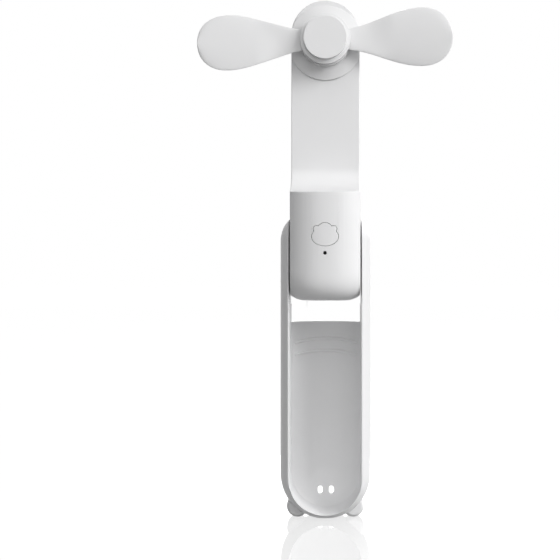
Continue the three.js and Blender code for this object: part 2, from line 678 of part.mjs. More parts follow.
// Sleeve that carries the shaft in the panel and the bezel
function motorBearing() {
  const frontY = bezelFrontY + SEAT_GAP;
  const sleeve = bar('y', BEARING_RADIUS, frontY, panelBackY, 0, hubZ);
  return sleeve.subtract(bar('y', SHAFT_RADIUS + SEAT_GAP, frontY - PAST, panelBackY + PAST, 0, hubZ));
}

// Hollow cone round the motor axis, trimmed to the arm's outline
function motorBezel() {
  const boreRadius = BEARING_RADIUS + FIT_GAP;
  const innerRadius = Math.min(BEZEL_RADIUS, bodyHalf - SEAT_GAP) - BEZEL_WALL;
  const cone = turned([
    [boreRadius, bezelFrontY], [BEZEL_FRONT_RADIUS, bezelFrontY],
    [BEZEL_RADIUS, bezelBackY - BEZEL_SKIRT], [BEZEL_RADIUS, bezelBackY],
    [innerRadius, bezelBackY],
    [BEZEL_FRONT_RADIUS - BEZEL_WALL, bezelFrontY + BEZEL_WALL], [boreRadius, bezelFrontY + BEZEL_WALL],
    [boreRadius, bezelFrontY],
  ], 0, hubZ, BEZEL_SEGMENTS);
  return cone.intersect(prismY(tongue(bodyHalf - SEAT_GAP, armTopZ - SEAT_GAP, 0), -FAR, FAR));
}

// Hub plate with the boss that the shaft is pressed into. The rotor's pieces are made about their own axis.
function fanHub() {
  const bossFrontY = capRingFrontY + FIT_GAP;
  const boreEndY = bayFrontY;
  const boreRadius = SHAFT_RADIUS + FIT_GAP;
  let hub = turned([
    [boreRadius, hubBackY], [HUB_RADIUS, hubBackY], [HUB_RADIUS, bayBackY], [HUB_BOSS_RADIUS, bayBackY],
    [HUB_BOSS_RADIUS, bossFrontY], [0, bossFrontY], [0, boreEndY], [boreRadius, boreEndY],
    [boreRadius, hubBackY],
  ]);
  [-1, 1].forEach((side) => {
    const pinX = side * pinReach;
    hub = hub.subtract(bar('y', BLADE_PIN_RADIUS + FIT_GAP, bayBackY - PAST, hubBackY + PAST, pinX, 0));
  });
  return hub;
}

// Cap over the blade lugs: a ring plate and a raised round face with a soft edge
function hubCap() {
  let cap = turned([
    [0, bayFrontY], [HUB_RADIUS, bayFrontY], [HUB_RADIUS, capRingFrontY + CAP_EDGE],
    ...edge(HUB_RADIUS, capRingFrontY, CAP_EDGE, -1).reverse(), [CAP_RADIUS, capRingFrontY],
    ...edge(CAP_RADIUS, capFrontY, CAP_EDGE, -1).reverse(), [0, capFrontY],
  ]);
  const bossEndY = capRingFrontY - FIT_GAP;
  const pinEndY = bayFrontY - BLADE_PIN_IN_CAP - FIT_GAP;
  cap = cap.subtract(bar('y', HUB_BOSS_RADIUS + FIT_GAP, bossEndY, bayFrontY + PAST, 0, 0));
  [-1, 1].forEach((side) => {
    const pinX = side * pinReach;
    cap = cap.subtract(bar('y', BLADE_PIN_RADIUS + FIT_GAP, pinEndY, bayFrontY + PAST, pinX, 0));
  });
  return cap;
}

// Pin that a blade folds on, from the hub plate into the cap
function bladePin(side) {
  const frontY = bayFrontY - BLADE_PIN_IN_CAP;
  return bar('y', BLADE_PIN_RADIUS, frontY, hubBackY - FIT_GAP, side * pinReach, 0);
}

// Half width of the blade's paddle outline at a radius from the rotor's axis
function bladeHalfWidth(radius) {
  const widest = BLADE_WIDTH / 2;
  const root = BLADE_ROOT_WIDTH / 2;
  if (radius > BLADE_WIDEST_RADIUS) {
    const share = (radius - BLADE_WIDEST_RADIUS) / (BLADE_TIP_RADIUS - BLADE_WIDEST_RADIUS);
    return widest * (1 - share ** BLADE_TIP_POWER) ** (1 / BLADE_TIP_POWER);
  }
  if (radius < BLADE_ROOT_RADIUS) {
    const neck = LUG_RADIUS - SEAT_GAP;
    return THREE.MathUtils.mapLinear(radius, pinReach, BLADE_ROOT_RADIUS, neck, root);
  }
  const share = (radius - BLADE_ROOT_RADIUS) / (BLADE_WIDEST_RADIUS - BLADE_ROOT_RADIUS);
  return root + (widest - root) * Math.sin((Math.PI / 2) * share ** BLADE_SWELL_POWER);
}

// Thin twisted and cambered paddle along the side's direction, with a lug that turns on the blade pin
function blade(side) {
  const rings = [];
  const middleY = bladeY + side * BLADE_STAGGER;
  for (let i = 0; i <= BLADE_STATIONS; i += 1) {
    const spread = Math.sin((Math.PI / 2) * (i / BLADE_STATIONS));
    const radius = pinReach + (BLADE_TIP_RADIUS - BLADE_TIP_BLUNT - pinReach) * spread;
    const half = bladeHalfWidth(radius);
    const twist = THREE.MathUtils.smoothstep(
      radius, BLADE_TWIST_START_RADIUS, BLADE_TWIST_END_RADIUS);
    const pitch = THREE.MathUtils.degToRad(BLADE_PITCH * twist);
    const thick = BLADE_THICKNESS / 2;
    const camber = BLADE_CAMBER * twist;
    rings.push(superellipse(BLADE_POINTS, BLADE_EDGE_POWER, (u, v) => {
      const across = half * u;
      const deep = thick * v - camber * (1 - u * u);
      return new THREE.Vector3(
        side * radius,
        middleY - side * across * Math.sin(pitch) + deep * Math.cos(pitch),
        across * Math.cos(pitch) + side * deep * Math.sin(pitch));
    }));
  }
  const lugX = side * pinReach;
  const lug = bar('y', LUG_RADIUS, bayFrontY + SEAT_GAP, bayBackY - SEAT_GAP, lugX, 0, ROUND_SEGMENTS);
  const bore = bar('y', BLADE_PIN_RADIUS + SEAT_GAP, bayFrontY, bayBackY, lugX, 0);
  return skin(rings).add(lug).subtract(bore);
}

const whitePlastic = { color: 0xe9e9ea, roughness: 0.38, metalness: 0 };
const whiteSatin = { color: 0xe2e2e4, roughness: 0.5, metalness: 0 };
const greyPlastic = { color: 0x9a9c9f, roughness: 0.5, metalness: 0 };
const blackPlastic = { color: 0x17181a, roughness: 0.45, metalness: 0 };
const steel = { color: 0xb9bcc0, roughness: 0.3, metalness: 1 };
const brass = { color: 0xc8a550, roughness: 0.35, metalness: 1 };
const boardGreen = { color: 0x1f5a3a, roughness: 0.5, metalness: 0 };
const cellBlue = { color: 0x2f6fb5, roughness: 0.4, metalness: 0 };
const leadRed = { color: 0xb3261e, roughness: 0.5, metalness: 0 };
const leadBlack = { color: 0x202124, roughness: 0.5, metalness: 0 };
const lensDark = { color: 0x2a2c30, roughness: 0.15, metalness: 0 };

// Named mesh of a solid in its own material, added to a group
function piece(group, name, body, finish) {
  const mesh = new THREE.Mesh(geometryOf(body), new THREE.MeshStandardMaterial(finish));
  mesh.name = name;
  group.add(mesh);
}

const fan = new THREE.Group();
const rotor = new THREE.Group();
rotor.position.set(0, 0, hubZ);
rotor.rotation.y = THREE.MathUtils.degToRad(-PARK_ANGLE);
fan.add(rotor);

piece(fan, 'case_shell', caseShell(), whitePlastic);
piece(fan, 'front_housing', frontHousing(), whitePlastic);
piece(fan, 'rear_housing', rearHousing(), whitePlastic);
[['left', -1], ['right', 1]].forEach(([name, side]) => {
  piece(fan, `ear_${name}`, ear(side), whitePlastic);
  piece(fan, `hinge_pin_${name}`, hingePin(side), steel);
  piece(fan, `hinge_bush_${name}`, hingeBush(side), greyPlastic);
  piece(rotor, `blade_pin_${name}`, bladePin(side), steel);
  piece(rotor, `blade_${name}`, blade(side), whiteSatin);
});

piece(fan, 'power_button', powerButton(), whitePlastic);
piece(fan, 'power_switch', powerSwitch(), blackPlastic);
piece(fan, 'circuit_board', circuitBoard(), boardGreen);
piece(fan, 'usb_socket', usbSocket(), steel);
piece(fan, 'battery_cell', batteryCell(), cellBlue);

const ledHalf = LED_SIZE / 2;
const led = box(-ledHalf, ledHalf, ledTopY, boardSeatY, indicatorZ - ledHalf, indicatorZ + ledHalf);
const lensEndY = ledTopY - SEAT_GAP;
const lens = bar('y', LENS_RADIUS, -halfDepth - PAST, lensEndY, 0, indicatorZ).intersect(openOval(0));
piece(fan, 'indicator_led', led, greyPlastic);
piece(fan, 'indicator_lens', lens, lensDark);

[-1, 1].forEach((side, i) => {
  const headSeatY = boardBackY + FIT_GAP;
  const boardScrew = screw(side * BOARD_SCREW_SPREAD / 2, boardScrewZ, headSeatY, 1, BOARD_SCREW_LENGTH);
  const motorSeatY = PANEL_Y - FIT_GAP;
  const motorScrew = screw(side * MOTOR_SCREW_SPREAD / 2, hubZ, motorSeatY, -1, MOTOR_SCREW_LENGTH);
  piece(fan, `board_screw_${i + 1}`, boardScrew, steel);
  piece(fan, `motor_screw_${i + 1}`, motorScrew, steel);
});

const boardY = (BOARD_FRONT_Y + boardBackY) / 2;
const leadDrop = hubZ - MOTOR_RADIUS - SEAT_GAP;
const leadEndZ = boardTopZ + SEAT_GAP;
[['red', -1, leadRed], ['black', 1, leadBlack]].forEach(([name, side, finish]) => {
  const x = side * LEAD_SPACING / 2;
  const route = [
    [x, 9, leadDrop], [x, 9, leadDrop - 12], [x, 8, PIVOT_HEIGHT + 51], [x, 6, PIVOT_HEIGHT + 36],
    [x, 2, PIVOT_HEIGHT + 30], [x, -4, PIVOT_HEIGHT + 27], [x, -7.6, PIVOT_HEIGHT + 24],
    [x, boardY, leadEndZ],
  ];
  piece(fan, `motor_lead_${name}`, lead(route), finish);
});
const cellLeadTop = cellTopZ + SEAT_GAP;
const cellLeadLow = cellBottomZ - SEAT_GAP;
piece(fan, 'battery_lead_red', lead([
  [0, PARTING_Y, cellLeadTop], [-2.5, PARTING_Y - 1.5, cellLeadTop + 1.6], [-5, 0, cellLeadTop + 1.8],
  [-6, -5, cellLeadTop + 1.8], [-6, boardY, leadEndZ],
]), leadRed);
piece(fan, 'battery_lead_black', lead([
  [0, PARTING_Y, cellLeadLow], [2.5, PARTING_Y - 1.5, cellLeadLow - 1.6], [6, 0, cellLeadLow - 1.8],
  [7.5, -4, cellLeadLow - 1.8], [7.5, boardBackY + SEAT_GAP, cellLeadLow - 1.8],
]), leadBlack);

piece(fan, 'motor_can', motorCan(), steel);
piece(fan, 'motor_bearing', motorBearing(), brass);
piece(fan, 'motor_bezel', motorBezel(), whitePlastic);
piece(rotor, 'fan_hub', fanHub(), whiteSatin);
piece(rotor, 'hub_cap', hubCap(), whitePlastic);
const shaftFrontY = bayFrontY + FIT_GAP;
const shaftBackY = motorFrontY + SHAFT_DEPTH_IN_MOTOR;
piece(rotor, 'motor_shaft', bar('y', SHAFT_RADIUS, shaftFrontY, shaftBackY, 0, 0), steel);

export default fan;
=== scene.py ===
"""Looks of a white folding pocket fan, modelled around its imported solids.

The fan stands open on the round end of its case, with the case's mouth and the rotor towards -Y.
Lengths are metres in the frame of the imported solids.
"""

import json
import logging
import math
from contextlib import contextmanager
from dataclasses import dataclass
from enum import Enum
from typing import Callable, Dict, Iterator, List, Sequence, Tuple

import bmesh
import bpy
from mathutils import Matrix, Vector

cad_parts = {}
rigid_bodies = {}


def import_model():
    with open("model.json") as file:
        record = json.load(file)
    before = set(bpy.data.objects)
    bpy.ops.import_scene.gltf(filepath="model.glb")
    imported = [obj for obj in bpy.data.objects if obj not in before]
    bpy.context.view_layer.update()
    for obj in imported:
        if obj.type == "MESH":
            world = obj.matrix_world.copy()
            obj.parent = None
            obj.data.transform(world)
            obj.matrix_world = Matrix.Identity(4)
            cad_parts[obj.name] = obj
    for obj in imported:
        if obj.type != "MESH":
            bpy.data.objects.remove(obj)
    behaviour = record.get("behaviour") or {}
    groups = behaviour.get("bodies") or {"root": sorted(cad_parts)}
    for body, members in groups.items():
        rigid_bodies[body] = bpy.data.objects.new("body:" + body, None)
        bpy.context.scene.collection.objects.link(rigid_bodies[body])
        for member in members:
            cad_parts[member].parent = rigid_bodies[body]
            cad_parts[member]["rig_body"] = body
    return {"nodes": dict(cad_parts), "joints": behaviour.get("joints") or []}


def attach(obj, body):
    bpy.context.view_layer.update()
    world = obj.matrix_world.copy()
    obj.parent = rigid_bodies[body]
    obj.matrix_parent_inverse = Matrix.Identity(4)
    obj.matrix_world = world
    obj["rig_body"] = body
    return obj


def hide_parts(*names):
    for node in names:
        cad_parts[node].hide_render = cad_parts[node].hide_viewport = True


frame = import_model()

LOG = logging.getLogger("pocket_fan")
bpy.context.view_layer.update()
# Past the whole fan, and four reaches past the case, each inside the last, so that no two cutting
# blocks share a face.
FAR = 0.4
OUTER_REACH = 0.05
INNER_REACH = 0.04
POCKET_REACH = 0.035
MOUTH_REACH = 0.03
OUTER_TOP = 0.25
INNER_TOP = 0.24
POCKET_TOP = 0.21
MOUTH_TOP = 0.2
BELOW = -0.1
TINY = 1e-6
NEAR = 2e-5
FACING = 0.9
SHARP_ANGLE = 32
END_POINTS = 144
SWEEP_POINTS = 256
FINE_POINTS = 96
ROUND_STEPS = 8
Triple = Tuple[float, float, float]


class Cut(Enum):
    """What a boolean leaves of two forms."""

    AWAY = "DIFFERENCE"
    COMMON = "INTERSECT"
    JOINED = "UNION"


class Picked(Enum):
    """What is selected in an edited piece."""

    POINTS = "VERT"
    EDGES = "EDGE"
    FACES = "FACE"


class Axis(Enum):
    """An axis that a bar runs along, as its place in a point."""

    X = 0
    Y = 1
    Z = 2

    @property
    def turn(self) -> Triple:
        """The turn that lays an upright bar along the axis."""
        quarter = math.pi / 2
        return ((0, quarter, 0), (quarter, 0, 0), (0, 0, 0))[self.value]


class Side(Enum):
    """The two sides of the fan, as the sign of their X."""

    LEFT = -1
    RIGHT = 1

    @property
    def word(self) -> str:
        """The side's name as the solids' names end in it."""
        return self.name.lower()


@dataclass(frozen=True)
class FanSizes:
    """Sizes that the case, the body and the rotor share."""

    pivot_z: float
    hub_z: float
    case_width: float = 0.041
    case_depth: float = 0.036
    oval_power: float = 2.3
    base_flat: float = 0.012
    body_reach: float = 0.021
    arm_reach: float = 0.0187
    corner_width: float = 0.011
    corner_depth: float = 0.012
    corner_length: float = 0.0127
    corner_power: float = 2
    corner_fullness: float = 3
    mouth_width: float = 0.0321
    mouth_end_wall: float = 0.0023
    side_gap: float = 0.00035
    seat_gap: float = 0.0003
    park_angle: float = math.radians(2)

    @property
    def half_width(self) -> float:
        """Half of the oval's width."""
        return self.case_width / 2

    @property
    def half_depth(self) -> float:
        """Half of the oval's depth."""
        return self.case_depth / 2

    @property
    def mouth_half(self) -> float:
        """Half of the mouth's width."""
        return self.mouth_width / 2

    @property
    def body_half(self) -> float:
        """Half of the body's width between the case's arms."""
        return self.mouth_half - self.side_gap

    @property
    def arm_top(self) -> float:
        """Height of the opened arm's round end."""
        return 2 * self.pivot_z - self.mouth_end_wall - self.side_gap

    def depth_at(self, x: float) -> float:
        """Depth of the oval at a distance from its middle.

        Args:
            x: Distance from the middle across the width.

        Returns:
            Half of the oval's depth there.
        """
        share = (x / self.half_width) ** self.oval_power
        return self.half_depth * (1 - share) ** (1 / self.oval_power)


def joint_place(name: str) -> Vector:
    """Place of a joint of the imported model.

    Args:
        name: The joint's name.

    Returns:
        Its point at rest.
    """
    found = [joint for joint in frame["joints"] if joint["name"] == name]
    return Vector(found[0]["pos_m"])


SIZES = FanSizes(pivot_z=joint_place("case_fold").z, hub_z=joint_place("fan_spin").z)


def lone(piece: bpy.types.Object) -> None:
    """Makes a piece the only selected object and the active one.

    Args:
        piece: The object to work on.
    """
    bpy.ops.object.select_all(action="DESELECT")
    piece.select_set(True)
    bpy.context.view_layer.objects.active = piece


@contextmanager
def editing(piece: bpy.types.Object, kind: Picked = Picked.POINTS) -> Iterator[None]:
    """Holds a piece in edit mode with everything selected.

    Args:
        piece: The object to edit.
        kind: What is selected in it.

    Yields:
        Nothing: the operators act on the piece meanwhile.
    """
    lone(piece)
    bpy.ops.object.mode_set(mode="EDIT")
    bpy.ops.mesh.select_mode(type=kind.value)
    bpy.ops.mesh.select_all(action="SELECT")
    yield
    bpy.ops.object.mode_set(mode="OBJECT")


def select_points(piece: bpy.types.Object, test: Callable[[Vector], bool]) -> None:
    """Selects the points of an edited piece by their place.

    Args:
        piece: The object in edit mode.
        test: Says of a point whether it is selected.
    """
    mesh = bmesh.from_edit_mesh(piece.data)
    bpy.ops.mesh.select_all(action="DESELECT")
    for point in mesh.verts:
        point.select_set(test(point.co))
    mesh.select_flush_mode()
    bmesh.update_edit_mesh(piece.data)


def select_faces(piece: bpy.types.Object, test: Callable[[Vector, Vector], bool]) -> None:
    """Selects the faces of an edited piece by their middle and normal.

    Args:
        piece: The object in edit mode.
        test: Says of a face's middle and normal whether it is selected.
    """
    mesh = bmesh.from_edit_mesh(piece.data)
    bpy.ops.mesh.select_all(action="DESELECT")
    for face in mesh.faces:
        face.select_set(test(face.calc_center_median(), face.normal))
    mesh.select_flush_mode()
    bmesh.update_edit_mesh(piece.data)


def named(name: str) -> bpy.types.Object:
    """Names the primitive that was just added and puts its place into its mesh.

    Args:
        name: The piece's name.

    Returns:
        The new object.
    """
    piece = bpy.context.active_object
    piece.name = name
    lone(piece)
    bpy.ops.object.transform_apply(location=True, rotation=True, scale=True)
    return piece


def twin(piece: bpy.types.Object, name: str) -> bpy.types.Object:
    """Copies a piece with a mesh of its own.

    Args:
        piece: The object to copy.
        name: The copy's name.

    Returns:
        The copy.
    """
    copy = piece.copy()
    copy.data = piece.data.copy()
    copy.name = name
    bpy.context.scene.collection.objects.link(copy)
    return copy


def carve(piece: bpy.types.Object, tool: bpy.types.Object, cut: Cut = Cut.AWAY) -> None:
    """Cuts or joins a piece with a tool form, which is then removed.

    Args:
        piece: The object that changes.
        tool: The form that cuts it.
        cut: What is left of the two.
    """
    lone(piece)
    modifier = piece.modifiers.new("carve", "BOOLEAN")
    modifier.object = tool
    modifier.operation = cut.value
    modifier.solver = "EXACT"
    bpy.ops.object.modifier_apply(modifier=modifier.name)
    bpy.data.objects.remove(tool)


def split_big_faces(piece: bpy.types.Object) -> None:
    """Splits the many-sided faces of an edited piece, so that a rounding can't fold them over.

    Args:
        piece: The object in edit mode with edges shown.
    """
    mesh = bmesh.from_edit_mesh(piece.data)
    bpy.ops.mesh.select_mode(type=Picked.FACES.value)
    bpy.ops.mesh.select_all(action="DESELECT")
    for face in mesh.faces:
        face.select_set(len(face.verts) > 4)
    bmesh.update_edit_mesh(piece.data)
    bpy.ops.mesh.quads_convert_to_tris(ngon_method="BEAUTY")
    bpy.ops.mesh.select_mode(type=Picked.EDGES.value)


def everywhere(at: Vector) -> bool:
    """Takes every point."""
    return True


def soften(
    piece: bpy.types.Object, width: float, segments: int = 3, weld: float = 0.00012,
    where: Callable[[Vector], bool] = everywhere
) -> None:
    """Rounds the sharp edges of a form and smooths its shading.

    Args:
        piece: The object to round.
        width: How far the rounding reaches from an edge.
        segments: Faces across a rounding.
        weld: Points closer than this are merged first.
        where: Says of an edge's points whether the edge is rounded.
    """
    with editing(piece, Picked.EDGES):
        bpy.ops.mesh.remove_doubles(threshold=weld)
        bpy.ops.mesh.dissolve_degenerate(threshold=weld)
        split_big_faces(piece)
        bpy.ops.mesh.select_all(action="DESELECT")
        bpy.ops.mesh.edges_select_sharp(sharpness=math.radians(SHARP_ANGLE))
        mesh = bmesh.from_edit_mesh(piece.data)
        for edge in mesh.edges:
            if edge.select and not all(where(point.co) for point in edge.verts):
                edge.select_set(False)
        bmesh.update_edit_mesh(piece.data)
        bpy.ops.mesh.bevel(offset=width, segments=segments, profile=0.5, clamp_overlap=False)
        bpy.ops.mesh.select_all(action="SELECT")
        bpy.ops.mesh.normals_make_consistent(inside=False)
    smooth(piece)


def refill(piece: bpy.types.Object, flat: Callable[[Vector], bool]) -> None:
    """Fills a flat face of a form afresh, since a rounding can leave slivers along its edge.

    Args:
        piece: The object to mend.
        flat: Says of a point whether it lies on the flat face.
    """
    with editing(piece, Picked.FACES):
        mesh = bmesh.from_edit_mesh(piece.data)
        bpy.ops.mesh.select_all(action="DESELECT")
        for face in mesh.faces:
            face.select_set(all(flat(point.co) for point in face.verts))
        bmesh.update_edit_mesh(piece.data)
        bpy.ops.mesh.delete(type="FACE")
        bpy.ops.mesh.select_mode(type=Picked.EDGES.value)
        mesh = bmesh.from_edit_mesh(piece.data)
        for edge in mesh.edges:
            edge.select_set(edge.is_boundary and all(flat(point.co) for point in edge.verts))
        bmesh.update_edit_mesh(piece.data)
        bpy.ops.mesh.fill(use_beauty=True)
        bpy.ops.mesh.select_all(action="SELECT")
        bpy.ops.mesh.normals_make_consistent(inside=False)


def smooth(piece: bpy.types.Object, angle: float = 40) -> None:
    """Shades a piece smooth but for its sharp edges, with normals weighted by face size.

    Args:
        piece: The object to shade.
        angle: Edges that turn by more than these degrees stay sharp.
    """
    lone(piece)
    bpy.ops.object.shade_smooth_by_angle(angle=math.radians(angle))
    modifier = piece.modifiers.new("weigh", "WEIGHTED_NORMAL")
    modifier.keep_sharp = True
    bpy.ops.object.modifier_apply(modifier=modifier.name)


def slab(name: str, low: Sequence[float], high: Sequence[float]) -> bpy.types.Object:
    """Box between two corners, for cutting.

    Args:
        name: The box's name.
        low: Its lowest corner.
        high: Its highest corner.

    Returns:
        The new object.
    """
    middle = [(a + b) / 2 for a, b in zip(low, high)]
    bpy.ops.object.select_all(action="DESELECT")
    bpy.ops.mesh.primitive_cube_add(size=1, location=middle)
    bpy.context.active_object.scale = [b - a for a, b in zip(low, high)]
    return named(name)


def rod(
    name: str, radius: float, start: Sequence[float], length: float, axis: Axis, points: int = 48
) -> bpy.types.Object:
    """Round bar from a point along an axis.

    Args:
        name: The bar's name.
        radius: Its radius.
        start: The middle of its low end.
        length: Its length.
        axis: The axis it runs along.
        points: Points round it.

    Returns:
        The new object.
    """
    middle = Vector(start)
    middle[axis.value] += length / 2
    bpy.ops.object.select_all(action="DESELECT")
    bpy.ops.mesh.primitive_cylinder_add(
        vertices=points, radius=radius, depth=length, location=middle, rotation=axis.turn)
    return named(name)


@dataclass(frozen=True)
class Ring:
    """One ring of a lofted oval."""

    half_width: float
    half_depth: float
    height: float


class OvalForm:
    """The oval form of the closed fan, from its domed end to its square end."""

    POINTS = 120
    DOME_RINGS = 22
    CORNER_RINGS = 14

    def __init__(self, sizes: FanSizes) -> None:
        """Keeps the sizes that the form is lofted from.

        Args:
            sizes: The fan's shared sizes.
        """
        self.sizes = sizes

    def rings(self, inset: float, reach: float) -> List[Ring]:
        """Rings of the form, set in by a wall.

        Args:
            inset: The wall's thickness.
            reach: From the hinge axis to the square end.

        Returns:
            The rings from low to high.
        """
        sizes = self.sizes
        a = sizes.half_width - inset
        b = sizes.half_depth - inset
        flat = sizes.base_flat / 2
        tip_cut = sizes.half_width - math.sqrt(sizes.half_width ** 2 - flat ** 2)
        first = math.acos(1 - tip_cut / sizes.half_width)
        rings = []
        for i in range(self.DOME_RINGS + 1):
            angle = first + (math.pi / 2 - first) * i / self.DOME_RINGS
            height = sizes.half_width - tip_cut - a * math.cos(angle)
            rings.append(Ring(a * math.sin(angle), b * math.sin(angle), height))
        end = sizes.pivot_z + reach - inset
        for i in range(self.CORNER_RINGS + 1):
            climb = math.sin(math.pi / 2 * i / self.CORNER_RINGS)
            across, deep = (
                max(1 - climb ** power, 0) ** (1 / power)
                for power in (sizes.corner_power, sizes.corner_fullness))
            rings.append(Ring(
                a - (sizes.corner_width - inset) * (1 - across),
                b - (sizes.corner_depth - inset) * (1 - deep),
                end - (sizes.corner_length - inset) * (1 - climb)))
        return rings

    def build(self, name: str, inset: float = 0, reach: float = 0) -> bpy.types.Object:
        """Lofts the form by extruding, widening and raising one oval face.

        Args:
            name: The form's name.
            inset: How far it is set in.
            reach: From the hinge axis to the square end, or 0 for the case's arms.

        Returns:
            The new object.
        """
        rings = self.rings(inset, reach or self.sizes.arm_reach)
        bpy.ops.object.select_all(action="DESELECT")
        bpy.ops.mesh.primitive_circle_add(
            vertices=self.POINTS, radius=1, fill_type="NGON", location=(0, 0, rings[0].height))
        form = named(name)
        for point in form.data.vertices:
            point.co.x = math.copysign(abs(point.co.x) ** (2 / self.sizes.oval_power), point.co.x)
            point.co.y = math.copysign(abs(point.co.y) ** (2 / self.sizes.oval_power), point.co.y)
        with editing(form, Picked.FACES):
            self._resize(rings[0].half_width, rings[0].half_depth, rings[0].height)
            for low, high in zip(rings, rings[1:]):
                step = {"value": (0, 0, high.height - low.height)}
                bpy.ops.mesh.extrude_region_move(TRANSFORM_OT_translate=step)
                self._resize(high.half_width / low.half_width, high.half_depth / low.half_depth, high.height)
            bpy.ops.mesh.select_all(action="SELECT")
            bpy.ops.mesh.normals_make_consistent(inside=False)
        return form

    @staticmethod
    def _resize(across: float, deep: float, height: float) -> None:
        """Scales the selected ring about the form's axis.

        Args:
            across: The factor along X.
            deep: The factor along Y.
            height: The ring's height.
        """
        bpy.ops.transform.resize(value=(across, deep, 1), center_override=(0, 0, height))

    def build_open(self, name: str, inset: float = 0) -> bpy.types.Object:
        """Lofts the form turned half a turn about the hinge, as the opened body stands.

        Args:
            name: The form's name.
            inset: How far it is set in.

        Returns:
            The new object.
        """
        form = self.build(name, inset, self.sizes.body_reach)
        form.rotation_euler = (math.pi, 0, 0)
        form.location = (0, 0, 2 * self.sizes.pivot_z)
        lone(form)
        bpy.ops.object.transform_apply(location=True, rotation=True, scale=True)
        return form


def tongue(
    name: str, half: float, round_end: float, straight_end: float, low_y: float, high_y: float
) -> bpy.types.Object:
    """Long prism along Y with one round end, for the mouth and for the arm.

    Args:
        name: The prism's name.
        half: Half of its width.
        round_end: Height of its round end.
        straight_end: Height of its straight end.
        low_y: Where the prism begins.
        high_y: Where it ends.

    Returns:
        The new object.
    """
    up = math.copysign(1, straight_end - round_end)
    centre = round_end + up * half
    bpy.ops.object.select_all(action="DESELECT")
    bpy.ops.mesh.primitive_circle_add(
        vertices=END_POINTS, radius=half, fill_type="NOTHING", location=(0, low_y, centre),
        rotation=Axis.Y.turn)
    prism = named(name)
    with editing(prism):
        select_points(prism, lambda at: up * (at.z - centre) > TINY)
        bpy.ops.mesh.delete(type="VERT")
        select_points(prism, lambda at: up * (at.z - centre) > -TINY)
        bpy.ops.mesh.extrude_vertices_move(TRANSFORM_OT_translate={"value": (0, 0, straight_end - centre)})
        bpy.ops.mesh.select_all(action="SELECT")
        bpy.ops.mesh.edge_face_add()
        bpy.ops.mesh.extrude_region_move(TRANSFORM_OT_translate={"value": (0, high_y - low_y, 0)})
        bpy.ops.mesh.select_all(action="SELECT")
        bpy.ops.mesh.normals_make_consistent(inside=False)
    return prism


class Texture(Enum):
    """How a finish breaks up its surface."""

    MOULDED = "moulded_skin"
    DRAWN = "drawn_metal"


class TextureGroups:
    """Shader node groups that the finishes share, each built once."""

    DRAWN_STRETCH: Triple = (0.08, 1, 1)
    CLOUD_DETAIL: float = 3
    GRAIN_DETAIL: float = 2
    CLOUD_MEAN: float = 0.5
    TINT_SHARE: float = 0.25

    def __init__(self) -> None:
        """Builds both groups."""
        self.groups: Dict[Texture, bpy.types.NodeTree] = {
            Texture.MOULDED: self._texture(Texture.MOULDED.value, (1, 1, 1)),
            Texture.DRAWN: self._texture(Texture.DRAWN.value, self.DRAWN_STRETCH),
        }

    def _texture(self, name: str, stretch: Triple) -> bpy.types.NodeTree:
        """Group that breaks up a colour and a roughness and gives a fine height.

        Args:
            name: The group's name.
            stretch: Scale of the pattern along X, Y and Z.

        Returns:
            The node group.
        """
        group = bpy.data.node_groups.new(name, "ShaderNodeTree")
        for label, kind in (("Colour", "NodeSocketColor"), ("Roughness", "NodeSocketFloat"),
                            ("Mottle", "NodeSocketFloat"), ("Mottle Scale", "NodeSocketFloat"),
                            ("Grain Scale", "NodeSocketFloat")):
            group.interface.new_socket(name=label, in_out="INPUT", socket_type=kind)
        for label, kind in (("Colour", "NodeSocketColor"), ("Roughness", "NodeSocketFloat"),
                            ("Height", "NodeSocketFloat")):
            group.interface.new_socket(name=label, in_out="OUTPUT", socket_type=kind)
        nodes, links = group.nodes, group.links
        inputs = nodes.new("NodeGroupInput")
        outputs = nodes.new("NodeGroupOutput")
        place = nodes.new("ShaderNodeTexCoord")
        mapping = nodes.new("ShaderNodeMapping")
        mapping.inputs["Scale"].default_value = stretch
        links.new(place.outputs["Object"], mapping.inputs["Vector"])
        cloud = nodes.new("ShaderNodeTexNoise")
        cloud.inputs["Detail"].default_value = self.CLOUD_DETAIL
        grain = nodes.new("ShaderNodeTexNoise")
        grain.inputs["Detail"].default_value = self.GRAIN_DETAIL
        for noise, label in ((cloud, "Mottle Scale"), (grain, "Grain Scale")):
            links.new(mapping.outputs["Vector"], noise.inputs["Vector"])
            links.new(inputs.outputs[label], noise.inputs["Scale"])
        centred = nodes.new("ShaderNodeMath")
        centred.operation = "SUBTRACT"
        centred.inputs[1].default_value = self.CLOUD_MEAN
        links.new(cloud.outputs["Fac"], centred.inputs[0])
        swing = nodes.new("ShaderNodeMath")
        swing.operation = "MULTIPLY"
        links.new(centred.outputs[0], swing.inputs[0])
        links.new(inputs.outputs["Mottle"], swing.inputs[1])
        rough = nodes.new("ShaderNodeMath")
        rough.operation = "ADD"
        links.new(swing.outputs[0], rough.inputs[0])
        links.new(inputs.outputs["Roughness"], rough.inputs[1])
        tint = nodes.new("ShaderNodeHueSaturation")
        links.new(inputs.outputs["Colour"], tint.inputs["Color"])
        bright = nodes.new("ShaderNodeMath")
        bright.operation = "MULTIPLY_ADD"
        bright.inputs[1].default_value = self.TINT_SHARE
        bright.inputs[2].default_value = 1
        links.new(swing.outputs[0], bright.inputs[0])
        links.new(bright.outputs[0], tint.inputs["Value"])
        links.new(tint.outputs["Color"], outputs.inputs["Colour"])
        links.new(rough.outputs[0], outputs.inputs["Roughness"])
        links.new(grain.outputs["Fac"], outputs.inputs["Height"])
        return group


